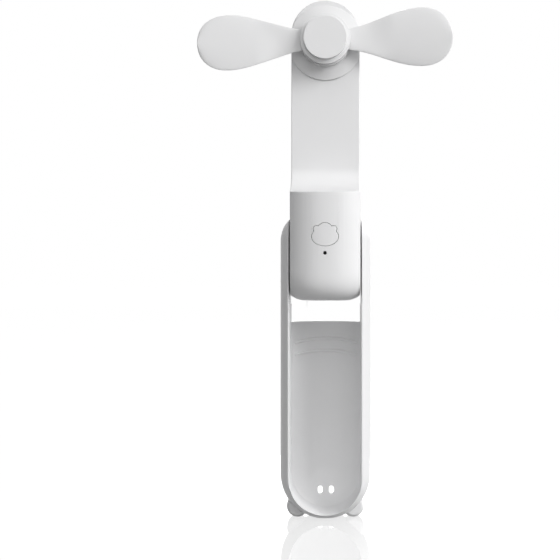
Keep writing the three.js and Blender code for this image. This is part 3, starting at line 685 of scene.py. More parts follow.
@dataclass(frozen=True)
class Finish:
    """A surface finish, with its pattern in real sizes."""

    name: str
    colour: Triple
    roughness: float
    metallic: float = 0
    coat: float = 0
    specular: float = 0.5
    texture: Texture = Texture.MOULDED
    mottle: float = 0.06
    mottle_size: float = 0.012
    grain_size: float = 0.0005
    grain_height: float = 0.000004

    def build(self, groups: TextureGroups) -> bpy.types.Material:
        """Makes the finish's material.

        Args:
            groups: The shared texture groups.

        Returns:
            The material.
        """
        material = bpy.data.materials.new(self.name)
        material.use_nodes = True
        nodes, links = material.node_tree.nodes, material.node_tree.links
        shader = nodes["Principled BSDF"]
        shader.inputs["Metallic"].default_value = self.metallic
        shader.inputs["Coat Weight"].default_value = self.coat
        shader.inputs["Specular IOR Level"].default_value = self.specular
        texture = nodes.new("ShaderNodeGroup")
        texture.node_tree = groups.groups[self.texture]
        texture.inputs["Colour"].default_value = (*self.colour, 1)
        texture.inputs["Roughness"].default_value = self.roughness
        texture.inputs["Mottle"].default_value = self.mottle
        texture.inputs["Mottle Scale"].default_value = 1 / self.mottle_size
        texture.inputs["Grain Scale"].default_value = 1 / self.grain_size
        bump = nodes.new("ShaderNodeBump")
        bump.inputs["Distance"].default_value = self.grain_height
        links.new(texture.outputs["Colour"], shader.inputs["Base Color"])
        links.new(texture.outputs["Roughness"], shader.inputs["Roughness"])
        links.new(texture.outputs["Height"], bump.inputs["Height"])
        links.new(bump.outputs["Normal"], shader.inputs["Normal"])
        return material


CASE_WHITE = Finish("case_white", (0.80, 0.80, 0.805), 0.40, specular=0.4)
BODY_WHITE = Finish("body_white", (0.80, 0.80, 0.805), 0.46, specular=0.3)
ROTOR_WHITE = Finish("rotor_white", (0.79, 0.79, 0.795), 0.40)
BLADE_WHITE = Finish("blade_white", (0.78, 0.78, 0.785), 0.46)
GREY_PLASTIC = Finish("grey_plastic", (0.32, 0.33, 0.34), 0.55)
BLACK_PLASTIC = Finish("black_plastic", (0.012, 0.013, 0.014), 0.45)
LENS_DARK = Finish("lens_dark", (0.003, 0.003, 0.0035), 0.14, specular=0.15, mottle=0.02)
LED_CLEAR = Finish("led_clear", (0.62, 0.61, 0.55), 0.25)
STEEL = Finish("steel", (0.62, 0.63, 0.64), 0.28, metallic=1, texture=Texture.DRAWN, mottle=0.12)
BRASS = Finish("brass", (0.58, 0.40, 0.12), 0.30, metallic=1, texture=Texture.DRAWN, mottle=0.12)
BOARD_GREEN = Finish("board_green", (0.014, 0.102, 0.042), 0.38, mottle=0.14, mottle_size=0.004)
CELL_WRAP = Finish("cell_wrap", (0.028, 0.159, 0.462), 0.30)
LEAD_RED = Finish("lead_red", (0.45, 0.020, 0.013), 0.45)
LEAD_BLACK = Finish("lead_black", (0.014, 0.015, 0.018), 0.45)


class Dresser:
    """Gives pieces and solids their finishes, and pieces their bodies."""

    def __init__(self) -> None:
        """Starts with no materials made."""
        self.groups = TextureGroups()
        self.made: Dict[str, bpy.types.Material] = {}

    def material(self, finish: Finish) -> bpy.types.Material:
        """The finish's material, made on first use.

        Args:
            finish: The finish.

        Returns:
            Its material.
        """
        if finish.name not in self.made:
            self.made[finish.name] = finish.build(self.groups)
        return self.made[finish.name]

    def paint(self, piece: bpy.types.Object, finish: Finish) -> None:
        """Puts a finish on a piece or a solid.

        Args:
            piece: The object.
            finish: Its finish.
        """
        piece.data.materials.clear()
        piece.data.materials.append(self.material(finish))

    def seat(self, piece: bpy.types.Object, node: str, finish: Finish) -> None:
        """Lets a piece stand for a solid and ride on its body.

        Args:
            piece: The new piece.
            node: The solid that it stands for.
            finish: Its finish.
        """
        self.paint(piece, finish)
        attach(piece, frame["nodes"][node]["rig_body"])
        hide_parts(node)
        LOG.info("%s stands for %s, %d faces", piece.name, node, len(piece.data.polygons))


@dataclass
class FanCase:
    """The U-shaped case: handle, stand and cover."""

    sizes: FanSizes
    wall: float = 0.0022
    rim_face: float = 0.0007
    mouth_ease: float = 0.00005
    pocket_ease: float = 0.0003
    pocket_drop: float = 0.0226
    back_edge_drop: float = 0.0313
    rib_drop: float = 0.0394
    rib_spacing: float = 0.0058
    rib_rise: float = 0.0019
    rib_half: float = 0.0148
    rib_radius: float = 0.0009
    rib_proud: float = 0.0006
    rib_stations: int = 96
    rib_points: int = 24
    rib_sharp_angle: float = 80
    slot_height: float = 0.0086
    slot_spacing: float = 0.0053
    slot_width: float = 0.0023
    slot_length: float = 0.0035
    nub_height: float = 0.0225
    nub_radius: float = 0.0015
    nub_proud: float = 0.00025
    nub_points: int = 32
    bore_radius: float = 0.0016
    bore_depth: float = 0.003
    edge: float = 0.0002
    ear_radius: float = 0.0049
    ear_reach: float = 0.0127
    ear_thickness: float = 0.008
    ear_edge: float = 0.0016

    def build(self, dresser: Dresser) -> None:
        """Models the case's shell and ears and puts them in place.

        Args:
            dresser: Gives the finishes.
        """
        dresser.seat(self.shell(), "case_shell", CASE_WHITE)
        for side in Side:
            dresser.seat(self.ear(side), f"ear_{side.word}", CASE_WHITE)

    def shell(self) -> bpy.types.Object:
        """Oval cut by its mouth, with side arms above the back wall.

        Returns:
            The shell.
        """
        sizes = self.sizes
        ovals = OvalForm(sizes)
        half = sizes.mouth_half
        low = sizes.mouth_end_wall
        rim_y = sizes.depth_at(half + self.rim_face)
        back_z = sizes.pivot_z - self.back_edge_drop
        shell = ovals.build("case_cover")
        space = ovals.build("case_space", self.wall)
        carve(space, slab("front_half", [-OUTER_REACH] * 3, (OUTER_REACH, 0, OUTER_TOP)), Cut.JOINED)
        above_low, above_high = (-INNER_REACH, -INNER_REACH, back_z), (INNER_REACH, INNER_REACH, INNER_TOP)
        carve(space, slab("above_back", above_low, above_high), Cut.JOINED)
        mouth = tongue("mouth", half + self.mouth_ease, low, MOUTH_TOP, -MOUTH_REACH, MOUTH_REACH)
        wide = half + self.pocket_ease
        pocket_z = sizes.pivot_z - self.pocket_drop
        pocket = slab("pocket", (-wide, -POCKET_REACH, pocket_z), (wide, POCKET_REACH, POCKET_TOP))
        carve(mouth, pocket, Cut.JOINED)
        carve(space, mouth, Cut.COMMON)
        carve(shell, space)
        carve(shell, slab("front_trim", (-FAR, -FAR, -FAR), (FAR, -rim_y, FAR)))
        carve(shell, slab("back_trim", (-FAR, rim_y, back_z), (FAR, FAR, FAR)))
        soften(shell, self.edge)
        for side in Side:
            carve(shell, self.strap_slot(side))
            start = half - sizes.side_gap if side is Side.RIGHT else -half - self.bore_depth
            length = self.bore_depth + sizes.side_gap
            carve(shell, rod("pin_bore", self.bore_radius, (start, 0, sizes.pivot_z), length, Axis.X))
        for side in Side:
            carve(shell, self.nub(side), Cut.JOINED)
        smooth(shell)
        self.add_ribs(shell)
        return shell

    def add_ribs(self, shell: bpy.types.Object) -> None:
        """Puts the two arched ribs on the inside of the back wall.

        Args:
            shell: The case's shell.
        """
        rib = self.rib()
        ribs = [rib, twin(rib, "rib_low")]
        for number, piece in enumerate(ribs):
            piece.location = (0, 0, self.sizes.pivot_z - self.rib_drop - number * self.rib_spacing)
        lone(shell)
        for piece in ribs:
            piece.select_set(True)
        bpy.ops.object.join()

    def rib(self) -> bpy.types.Object:
        """Round ridge with round ends, lofted along X and then laid on the wall.

        Returns:
            The rib, half sunk into the wall, with its middle at height 0.
        """
        radius = self.rib_radius
        bpy.ops.object.select_all(action="DESELECT")
        bpy.ops.mesh.primitive_circle_add(
            vertices=self.rib_points, radius=radius, fill_type="NGON", rotation=(0, math.pi / 2, 0))
        rib = named("rib_high")
        angles = [math.pi * (i + 0.5) / self.rib_stations for i in range(self.rib_stations)]
        stations = [-self.rib_half * math.cos(angle) for angle in angles]
        swells = [self.rib_swell(x) for x in stations]
        with editing(rib, Picked.FACES):
            bpy.ops.transform.translate(value=(stations[0], 0, 0))
            bpy.ops.transform.resize(value=(1, swells[0], swells[0]), center_override=(0, 0, 0))
            for i in range(1, self.rib_stations):
                step = {"value": (stations[i] - stations[i - 1], 0, 0)}
                bpy.ops.mesh.extrude_region_move(TRANSFORM_OT_translate=step)
                swell = swells[i] / swells[i - 1]
                bpy.ops.transform.resize(value=(1, swell, swell), center_override=(0, 0, 0))
            bpy.ops.mesh.select_all(action="SELECT")
            bpy.ops.mesh.normals_make_consistent(inside=False)
        for point in rib.data.vertices:
            point.co = self.on_wall(point.co)
        smooth(rib, self.rib_sharp_angle)
        return rib

    def rib_swell(self, x: float) -> float:
        """Share of the rib's radius that is left towards its round ends.

        Args:
            x: Place along the rib.

        Returns:
            The share, 1 but for the ends.
        """
        past = max(abs(x) - self.rib_half + self.rib_radius, 0) / self.rib_radius
        return math.sqrt(1 - past ** 2)

    def on_wall(self, at: Vector) -> Vector:
        """Lays a point of the straight rib on the back wall's inside.

        Args:
            at: The point, with Y as its height over the wall.

        Returns:
            The point on the arched line.
        """
        power = self.sizes.oval_power
        a = self.sizes.half_width - self.wall
        b = self.sizes.half_depth - self.wall
        y = b * (1 - (abs(at.x) / a) ** power) ** (1 / power)
        slope_x = math.copysign((abs(at.x) / a) ** (power - 1) / a, at.x)
        inward = -Vector((slope_x, (y / b) ** (power - 1) / b, 0)).normalized()
        arch = (self.rib_half ** 2 + self.rib_rise ** 2) / (2 * self.rib_rise)
        drop = arch - math.sqrt(arch ** 2 - at.x ** 2)
        over = at.y + self.rib_proud - self.rib_radius
        return Vector((at.x, y, at.z - drop)) + inward * over

    def nub(self, side: Side) -> bpy.types.Object:
        """Round snap nub on the inside of a side arm.

        Args:
            side: Which arm.

        Returns:
            The nub, sunk into the arm.
        """
        x = side.value * (self.sizes.mouth_half + self.nub_radius - self.nub_proud)
        bpy.ops.object.select_all(action="DESELECT")
        bpy.ops.mesh.primitive_uv_sphere_add(
            segments=self.nub_points, ring_count=self.nub_points // 2, radius=self.nub_radius,
            location=(x, 0, self.nub_height))
        return named("nub")

    def strap_slot(self, side: Side) -> bpy.types.Object:
        """Upright rounded slot through the back wall.

        Args:
            side: Which of the two slots.

        Returns:
            The form that cuts it.
        """
        spare = self.slot_length - self.slot_width
        x = side.value * self.slot_spacing / 2
        depth = 2 * self.sizes.half_depth
        slot = rod("strap_slot", self.slot_width / 2, (x, 0, self.slot_height), depth, Axis.Y)
        with editing(slot):
            for end in (-1, 1):
                select_points(slot, lambda at, end=end: end * (at.z - self.slot_height) > TINY)
                bpy.ops.transform.translate(value=(0, 0, end * spare / 2))
        return slot

    def ear(self, side: Side) -> bpy.types.Object:
        """Round ear with soft edges, which grows out of the case's round end.

        Args:
            side: Which of the two ears.

        Returns:
            The ear.
        """
        sizes = self.sizes
        start = (side.value * self.ear_reach, -self.ear_thickness / 2, self.ear_radius)
        ear = rod(f"ear_cover_{side.word}", self.ear_radius, start, self.ear_thickness, Axis.Y, FINE_POINTS)
        soften(ear, self.ear_edge, ROUND_STEPS)
        clear = self.wall / 2
        clear_end = sizes.mouth_end_wall - clear
        carve(ear, tongue("ear_clear", sizes.mouth_half + clear, clear_end, FAR, -FAR, FAR))
        smooth(ear)
        return ear


@dataclass
class FanBody:
    """The battery body with its arm, button, lens hole and motor cone."""

    sizes: FanSizes
    wall: float = 0.0018
    parting_y: float = 0.006
    parting_gap: float = 0.0001
    panel_y: float = 0.001
    sweep_radius: float = 0.02
    sweep_rise: float = 0.0125
    top_rise: float = 0.0272
    bush_hole: float = 0.0029
    bush_hole_start: float = 0.009
    bush_hole_length: float = 0.02
    button_rise: float = 0.00735
    button_width: float = 0.0116
    button_height: float = 0.008
    button_crown_radius: float = 0.0034
    button_crown_rise: float = 0.0026
    button_ear_radius: float = 0.0013
    button_ear_spread: float = 0.0076
    button_ear_rise: float = 0.0034
    button_thickness: float = 0.0026
    button_edge: float = 0.00015
    button_ease: float = 0.00006
    stem_radius: float = 0.0016
    stem_sunk: float = 0.0005
    stem_end_y: float = -0.0121
    well_y: float = -0.0093
    lens_rise: float = 0.0002
    lens_hole: float = 0.0008
    lens_cut_y: float = -0.02
    lens_cut: float = 0.0101
    lens_points: int = 32
    panel_cut: float = 0.004
    bearing_hole: float = 0.0031
    screw_hole: float = 0.001
    screw_spread: float = 0.014
    hole_zone: float = 0.0098
    socket_y: float = -0.0061
    socket_width: float = 0.0096
    socket_depth: float = 0.0038
    socket_well: float = 0.0072
    socket_corner: float = 0.00171
    socket_cut: float = 0.001
    cone_radius: float = 0.0171
    cone_front: float = 0.0096
    cone_height: float = 0.0023
    cone_skirt: float = 0.0006
    cone_wall: float = 0.0014
    cone_gap: float = 0.0001
    cone_cut: float = 0.001
    cone_bore_y: float = -0.01
    cone_bore_length: float = 0.02
    cone_points: int = 160
    edge: float = 0.0004
    well_edge: float = 0.00012
    well_weld: float = 0.00004
    seam_edge: float = 0.0002

    def build(self, dresser: Dresser) -> None:
        """Models the housings, the button and the motor cone.

        Args:
            dresser: Gives the finishes.
        """
        dresser.seat(self.front(), "front_housing", BODY_WHITE)
        dresser.seat(self.back(), "rear_housing", BODY_WHITE)
        dresser.seat(self.button(), "power_button", BODY_WHITE)
        dresser.seat(self.cone(), "motor_bezel", BODY_WHITE)

    def form(self, name: str, inset: float) -> bpy.types.Object:
        """Outer form of body and arm, set in by a wall.

        Args:
            name: The form's name.
            inset: The wall's thickness.

        Returns:
            The form.
        """
        sizes = self.sizes
        form = OvalForm(sizes).build_open(name, inset)
        outline = tongue("arm_outline", sizes.body_half - inset, sizes.arm_top - inset, BELOW, -FAR, FAR)
        carve(form, outline, Cut.COMMON)
        return form

    def sweep(self, inset: float) -> bpy.types.Object:
        """Space in front of the arm panel, with the concave sweep down to the body's top.

        Args:
            inset: How far the space is grown.

        Returns:
            The form that cuts it.
        """
        radius = self.sweep_radius + inset
        rise = self.sweep_rise + inset
        centre_y = self.panel_y - self.sweep_radius
        edge_share = (self.sizes.half_depth + centre_y) / self.sweep_radius
        edge_rise = self.sweep_rise * math.sqrt(1 - edge_share ** 2)
        centre_z = self.sizes.pivot_z + self.top_rise + edge_rise
        bpy.ops.object.select_all(action="DESELECT")
        bpy.ops.mesh.primitive_circle_add(
            vertices=SWEEP_POINTS, radius=radius, fill_type="NOTHING", rotation=Axis.X.turn,
            location=(-self.sizes.case_width, centre_y, centre_z))
        space = named("sweep_space")
        with editing(space):
            bpy.ops.transform.resize(value=(1, 1, rise / radius), center_override=(0, 0, centre_z))
            select_points(space, lambda at: at.z > centre_z + TINY or at.y < centre_y - TINY)
            bpy.ops.mesh.delete(type="VERT")
            select_points(space, lambda at: at.z > centre_z - TINY)
            bpy.ops.mesh.extrude_vertices_move(TRANSFORM_OT_translate={"value": (0, 0, FAR - centre_z)})
            select_points(space, lambda at: at.z < centre_z - rise + TINY)
            bpy.ops.mesh.extrude_vertices_move(TRANSFORM_OT_translate={"value": (0, -FAR, 0)})
            bpy.ops.mesh.extrude_vertices_move(TRANSFORM_OT_translate={"value": (0, 0, FAR)})
            bpy.ops.mesh.select_all(action="SELECT")
            bpy.ops.mesh.edge_face_add()
            across = {"value": (2 * self.sizes.case_width, 0, 0)}
            bpy.ops.mesh.extrude_region_move(TRANSFORM_OT_translate=across)
            bpy.ops.mesh.select_all(action="SELECT")
            bpy.ops.mesh.normals_make_consistent(inside=False)
        return space

    def front(self) -> bpy.types.Object:
        """Front of the body with the sweep and the arm panel.

        Returns:
            The front housing.
        """
        sizes = self.sizes
        seam = self.parting_y - self.parting_gap / 2
        front = self.form("body_front", 0)
        carve(front, self.sweep(0))
        carve(front, slab("behind_seam", (-FAR, seam, -FAR), (FAR, FAR, FAR)))
        room = self.form("body_room", self.wall)
        carve(room, self.sweep(self.wall))
        carve(front, room)
        for side in Side:
            length = self.bush_hole_length
            start = self.bush_hole_start if side is Side.RIGHT else -self.bush_hole_start - length
            carve(front, rod("bush_hole", self.bush_hole, (start, 0, sizes.pivot_z), length, Axis.X))
            screw_at = (side.value * self.screw_spread / 2, 0, sizes.hub_z)
            carve(front, rod("screw_hole", self.screw_hole, screw_at, self.panel_cut, Axis.Y))
        carve(front, rod("bearing_hole", self.bearing_hole, (0, 0, sizes.hub_z), self.panel_cut, Axis.Y))
        carve(front, self.button_prism("button_well", sizes.seat_gap - self.button_ease, self.well_y))
        lens_at = (0, self.lens_cut_y, sizes.pivot_z + self.lens_rise)
        carve(front, rod("lens_hole", self.lens_hole, lens_at, self.lens_cut, Axis.Y, self.lens_points))
        carve(front, self.socket_hole())
        soften(front, self.edge, where=lambda at: not self.at_well(at) and not self.at_hole(at))
        soften(front, self.well_edge, 2, self.well_weld, self.at_well)
        refill(front, lambda at: abs(at.y - self.panel_y) < TINY)
        refill(front, lambda at: abs(at.x - sizes.body_half) < TINY)
        refill(front, lambda at: abs(at.x + sizes.body_half) < TINY)
        smooth(front)
        return front

    def at_well(self, at: Vector) -> bool:
        """Says whether a point lies at the outer edge of the button's well, the lens or the socket.

        Args:
            at: The point.

        Returns:
            Whether it takes the fine rounding.
        """
        rise = at.z - self.sizes.pivot_z
        outside = self.sizes.depth_at(min(abs(at.x), self.button_width)) - self.wall / 2
        by_button = abs(at.x) < self.button_width and abs(rise - self.button_rise) < self.button_width
        by_socket = rise < TINY - self.sizes.body_reach and abs(at.x) < self.socket_width
        return by_button and at.y < -outside or by_socket and abs(at.y - self.socket_y) < self.socket_depth

    def at_hole(self, at: Vector) -> bool:
        """Says whether a point lies at a hole that another piece covers.

        Args:
            at: The point.

        Returns:
            Whether it stays sharp.
        """
        from_hub = math.hypot(at.x, at.z - self.sizes.hub_z)
        from_hinge = math.hypot(at.y, at.z - self.sizes.pivot_z)
        in_reach = abs(at.z - self.sizes.pivot_z) < self.sizes.body_reach - TINY
        in_body = abs(at.x) < self.button_width and in_reach
        return from_hub < self.hole_zone or from_hinge < 2 * self.bush_hole or in_body

    def socket_hole(self) -> bpy.types.Object:
        """Rounded well for the charging socket in the body's lower end.

        Returns:
            The form that cuts it.
        """
        end_z = self.sizes.pivot_z - self.sizes.body_reach
        low = (-self.socket_width / 2, self.socket_y - self.socket_depth / 2, end_z - self.socket_cut)
        high = (self.socket_width / 2, self.socket_y + self.socket_depth / 2, end_z + self.socket_well)
        hole = slab("socket_hole", low, high)
        with editing(hole, Picked.EDGES):
            mesh = bmesh.from_edit_mesh(hole.data)
            bpy.ops.mesh.select_all(action="DESELECT")
            for edge in mesh.edges:
                edge.select_set(abs(edge.verts[0].co.z - edge.verts[1].co.z) > TINY)
            bmesh.update_edit_mesh(hole.data)
            bpy.ops.mesh.bevel(offset=self.socket_corner, segments=ROUND_STEPS, profile=0.5)
        return hole

    def back(self) -> bpy.types.Object:
        """Long convex back of body and arm.

        Returns:
            The rear housing.
        """
        seam = self.parting_y + self.parting_gap / 2
        back = self.form("body_back", 0)
        carve(back, slab("ahead_of_seam", (-FAR, -FAR, -FAR), (FAR, seam, FAR)))
        carve(back, self.form("back_room", self.wall))
        soften(back, self.seam_edge)
        return back

    def button_prism(self, name: str, gap: float, end_y: float) -> bpy.types.Object:
        """Button outline carried along Y: a round head, a crown and two round ears.

        Args:
            name: The prism's name.
            gap: How far it is grown.
            end_y: Where the prism ends behind the body's front.

        Returns:
            The prism.
        """
        z = self.sizes.pivot_z + self.button_rise
        start_y = -MOUTH_REACH
        length = end_y - start_y
        prism = rod(name, 1, (0, start_y, z), length, Axis.Y, FINE_POINTS)
        with editing(prism):
            across = (self.button_width / 2 + gap, 1, self.button_height / 2 + gap)
            bpy.ops.transform.resize(value=across, center_override=(0, 0, z))
        lobes = [(0, self.button_crown_rise, self.button_crown_radius)]
        for side in Side:
            x = side.value * self.button_ear_spread / 2
            lobes.append((x, self.button_ear_rise, self.button_ear_radius))
        for x, rise, radius in lobes:
            carve(prism, rod("button_lobe", radius + gap, (x, start_y, z + rise), length, Axis.Y), Cut.JOINED)
        return prism

    def button(self) -> bpy.types.Object:
        """Button cap with its front in the body's surface, and its stem.

        Returns:
            The button.
        """
        back_y = self.button_thickness - self.sizes.half_depth
        z = self.sizes.pivot_z + self.button_rise
        button = self.button_prism("button_cap", self.button_ease, back_y)
        carve(button, OvalForm(self.sizes).build_open("button_skin"), Cut.COMMON)
        soften(button, self.button_edge, weld=self.well_weld)
        start_y = back_y - self.stem_sunk
        stem = rod("button_stem", self.stem_radius, (0, start_y, z), self.stem_end_y - start_y, Axis.Y)
        carve(button, stem, Cut.JOINED)
        smooth(button)
        return button

    def cone(self) -> bpy.types.Object:
        """Hollow cone round the motor axis, trimmed to the arm's outline.

        Returns:
            The cone.
        """
        sizes = self.sizes
        back_y = self.panel_y - self.cone_gap
        front_y = self.panel_y - self.cone_height
        cone = self.frustum("motor_cone", self.cone_radius, self.cone_front, front_y, back_y)
        inner_radius = min(self.cone_radius, sizes.body_half - sizes.seat_gap) - self.cone_wall
        inner_front = self.cone_front - self.cone_wall
        room_front, room_back = front_y + self.cone_wall, back_y + self.cone_cut
        carve(cone, self.frustum("cone_room", inner_radius, inner_front, room_front, room_back))
        bore_at = (0, self.cone_bore_y, sizes.hub_z)
        carve(cone, rod("cone_bore", self.bearing_hole, bore_at, self.cone_bore_length, Axis.Y))
        outline = tongue(
            "cone_outline", sizes.body_half - sizes.seat_gap, sizes.arm_top - sizes.seat_gap, 0, -FAR, FAR)
        carve(cone, outline, Cut.COMMON)
        soften(cone, self.seam_edge)
        return cone

    def frustum(
        self, name: str, back: float, front: float, front_y: float, back_y: float
    ) -> bpy.types.Object:
        """Cone frustum about the motor axis with a short straight skirt.

        Args:
            name: The frustum's name.
            back: Radius of its skirt.
            front: Radius of its front face.
            front_y: Where it begins.
            back_y: Where the skirt ends.

        Returns:
            The frustum.
        """
        taper_end = self.panel_y - self.cone_gap - self.cone_skirt
        bpy.ops.object.select_all(action="DESELECT")
        bpy.ops.mesh.primitive_cone_add(
            vertices=self.cone_points, radius1=back, radius2=front, depth=taper_end - front_y,
            rotation=Axis.Y.turn, location=(0, (taper_end + front_y) / 2, self.sizes.hub_z))
        piece = named(name)
        with editing(piece, Picked.FACES):
            select_faces(piece, lambda at, normal: normal.y > FACING)
            skirt = {"value": (0, back_y - taper_end, 0)}
            bpy.ops.mesh.extrude_region_move(TRANSFORM_OT_translate=skirt)
        return piece


@dataclass
class FanRotor:
    """The hub with its cap and the two folding paddles, made about the rotor's own axis."""

    sizes: FanSizes
    hub_radius: float = 0.0114
    hub_back_y: float = -0.0023
    bay_back_y: float = -0.0035
    bay_front_y: float = -0.0067
    ring_front_y: float = -0.0079
    cap_front_y: float = -0.0102
    boss_radius: float = 0.00175
    boss_front_y: float = -0.0078
    boss_gap: float = 0.0001
    bore_radius: float = 0.0011
    bore_length: float = 0.01
    plate_edge: float = 0.0002
    plate_points: int = 128
    cap_radius: float = 0.0097
    cap_edge: float = 0.0004
    cap_bore_edge: float = 0.00012
    cap_points: int = 192
    pin_reach: float = 0.0062
    pin_hole: float = 0.0013
    pin_cut: float = 0.001
    pin_length: float = 0.004
    pin_in_cap: float = 0.0023
    lug_radius: float = 0.0041
    lug_bore: float = 0.0015
    lug_edge: float = 0.0003
    tip_radius: float = 0.058
    widest_radius: float = 0.044
    root_radius: float = 0.012
    blade_width: float = 0.026
    root_width: float = 0.0102
    swell_power: float = 1.35
    tip_power: float = 2.2
    edge_power: float = 3
    thickness: float = 0.0009
    pitch: float = math.radians(7)
    camber: float = 0.0005
    twist_start: float = 0.018
    twist_end: float = 0.032
    stagger: float = 0.0006
    smooth_angle: float = 50
    stations: int = 64
    section_points: int = 64

    def build(self, dresser: Dresser) -> None:
        """Models the hub, its cap and both paddles.

        Args:
            dresser: Gives the finishes.
        """
        dresser.seat(self.settle(self.plate()), "fan_hub", ROTOR_WHITE)
        dresser.seat(self.settle(self.cap()), "hub_cap", ROTOR_WHITE)
        paddle = self.paddle()
        for side in Side:
            blade = self.blade(paddle, side)
            dresser.seat(self.settle(blade), f"blade_{side.word}", BLADE_WHITE)
        bpy.data.objects.remove(paddle)

    def settle(self, piece: bpy.types.Object) -> bpy.types.Object:
        """Turns a piece to the parked angle and lifts it to the hub.

        Args:
            piece: A piece made about the rotor's axis.

        Returns:
            The piece in its place.
        """
        piece.rotation_euler = (0, -self.sizes.park_angle, 0)
        piece.location = (0, 0, self.sizes.hub_z)
        lone(piece)
        bpy.ops.object.transform_apply(location=True, rotation=True, scale=True)
        return piece

    def plate(self) -> bpy.types.Object:
        """Hub plate with the boss that the shaft is pressed into.

        Returns:
            The hub.
        """
        depth = self.hub_back_y - self.bay_back_y
        plate = rod("hub_plate", self.hub_radius, (0, self.bay_back_y, 0), depth, Axis.Y, self.plate_points)
        self.step(plate, self.hub_radius - self.boss_radius, self.boss_front_y - self.bay_back_y)
        carve(plate, rod("shaft_bore", self.bore_radius, (0, self.bay_front_y, 0), self.bore_length, Axis.Y))
        for side in Side:
            start = (side.value * self.pin_reach, self.bay_back_y - self.pin_cut, 0)
            carve(plate, rod("pin_hole", self.pin_hole, start, self.pin_length, Axis.Y))
        soften(plate, self.plate_edge)
        return plate

    @staticmethod
    def step(piece: bpy.types.Object, inset: float, rise: float) -> None:
        """Insets a piece's front face and carries it along Y.

        Args:
            piece: The piece, with its front face towards -Y.
            inset: How far the face is inset.
            rise: How far it is carried.
        """
        front = min(point.co.y for point in piece.data.vertices)
        with editing(piece, Picked.FACES):
            select_faces(piece, lambda at, normal: at.y < front + TINY and normal.y < -FACING)
            bpy.ops.mesh.inset(thickness=inset, depth=0)
            bpy.ops.mesh.extrude_region_move(TRANSFORM_OT_translate={"value": (0, rise, 0)})

    def cap(self) -> bpy.types.Object:
        """Cap over the blade lugs: a ring plate and a raised round face with a soft edge.

        Returns:
            The cap.
        """
        ring = self.bay_front_y - self.ring_front_y
        cap = rod("hub_cover", self.hub_radius, (0, self.ring_front_y, 0), ring, Axis.Y, self.cap_points)
        self.step(cap, self.hub_radius - self.cap_radius, self.cap_front_y - self.ring_front_y)
        self.round_rim(cap, self.ring_front_y, self.hub_radius)
        self.round_rim(cap, self.cap_front_y, self.cap_radius)
        boss_at = (0, self.boss_front_y - 2 * self.boss_gap, 0)
        carve(cap, rod("boss_bore", self.boss_radius + self.boss_gap, boss_at, self.pin_length, Axis.Y))
        for side in Side:
            start = (side.value * self.pin_reach, self.bay_front_y - self.pin_in_cap, 0)
            length = self.pin_in_cap + self.pin_cut
            carve(cap, rod("pin_bore", self.pin_hole, start, length, Axis.Y))
        soften(cap, self.cap_bore_edge, 2)
        return cap

    def round_rim(self, piece: bpy.types.Object, y: float, radius: float) -> None:
        """Rounds one circular edge of a turned piece.

        Args:
            piece: The piece.
            y: Where the edge lies.
            radius: The edge's radius.
        """
        with editing(piece, Picked.EDGES):
            select_points(
                piece, lambda at: abs(at.y - y) < TINY and abs(math.hypot(at.x, at.z) - radius) < NEAR)
            bpy.ops.mesh.bevel(offset=self.cap_edge, segments=ROUND_STEPS, profile=0.5)

    def half_width(self, radius: float) -> float:
        """Half width of the paddle's outline.

        Args:
            radius: Distance from the rotor's axis.

        Returns:
            The half width there.
        """
        widest = self.blade_width / 2
        root = self.root_width / 2
        if radius > self.widest_radius:
            share = (radius - self.widest_radius) / (self.tip_radius - self.widest_radius)
            return widest * (1 - share ** self.tip_power) ** (1 / self.tip_power)
        if radius < self.root_radius:
            neck = self.lug_radius - self.sizes.seat_gap
            return neck + (root - neck) * (radius - self.pin_reach) / (self.root_radius - self.pin_reach)
        share = (radius - self.root_radius) / (self.widest_radius - self.root_radius)
        return root + (widest - root) * math.sin(math.pi / 2 * share ** self.swell_power)

    def half_thickness(self, radius: float) -> float:
        """Half thickness of the paddle, rounded off at its tip.

        Args:
            radius: Distance from the rotor's axis.

        Returns:
            The half thickness there.
        """
        half = self.thickness / 2
        past = max(radius - (self.tip_radius - half), 0) / half
        return half * max(1 - past ** self.edge_power, 0) ** (1 / self.edge_power)

    def paddle(self) -> bpy.types.Object:
        """Thin twisted paddle along +X, lofted by extruding, widening and turning one section.

        Returns:
            The paddle about the rotor's axis, its middle at Y 0.
        """
        span = self.tip_radius - NEAR - self.pin_reach
        shares = [math.sin(math.pi / 2 * i / self.stations) for i in range(self.stations + 1)]
        radii = [self.pin_reach + span * share for share in shares]
        bpy.ops.object.select_all(action="DESELECT")
        bpy.ops.mesh.primitive_circle_add(
            vertices=self.section_points, radius=1, fill_type="NGON", rotation=(0, math.pi / 2, 0),
            location=(radii[0], 0, 0))
        paddle = named("paddle")
        for point in paddle.data.vertices:
            point.co.y = math.copysign(abs(point.co.y) ** (2 / self.edge_power), point.co.y)
            point.co.z = math.copysign(abs(point.co.z) ** (2 / self.edge_power), point.co.z)
        with editing(paddle, Picked.FACES):
            deep, wide = self.half_thickness(radii[0]), self.half_width(radii[0])
            bpy.ops.transform.resize(value=(1, deep, wide), center_override=(radii[0], 0, 0))
            for low, high in zip(radii, radii[1:]):
                bpy.ops.mesh.extrude_region_move(TRANSFORM_OT_translate={"value": (high - low, 0, 0)})
                deep = self.half_thickness(high) / self.half_thickness(low)
                wide = self.half_width(high) / self.half_width(low)
                bpy.ops.transform.resize(value=(1, deep, wide), center_override=(high, 0, 0))
        self.bow(paddle)
        with editing(paddle):
            for low, high in zip(radii, radii[1:]):
                turn = self.pitch * (self.twist(high) - self.twist(low))
                if turn > 0:
                    select_points(paddle, lambda at: at.x > high - TINY)
                    bpy.ops.transform.rotate(
                        value=-turn, orient_axis="X", orient_type="GLOBAL", center_override=(high, 0, 0))
            bpy.ops.mesh.select_all(action="SELECT")
            bpy.ops.mesh.normals_make_consistent(inside=False)
        return paddle

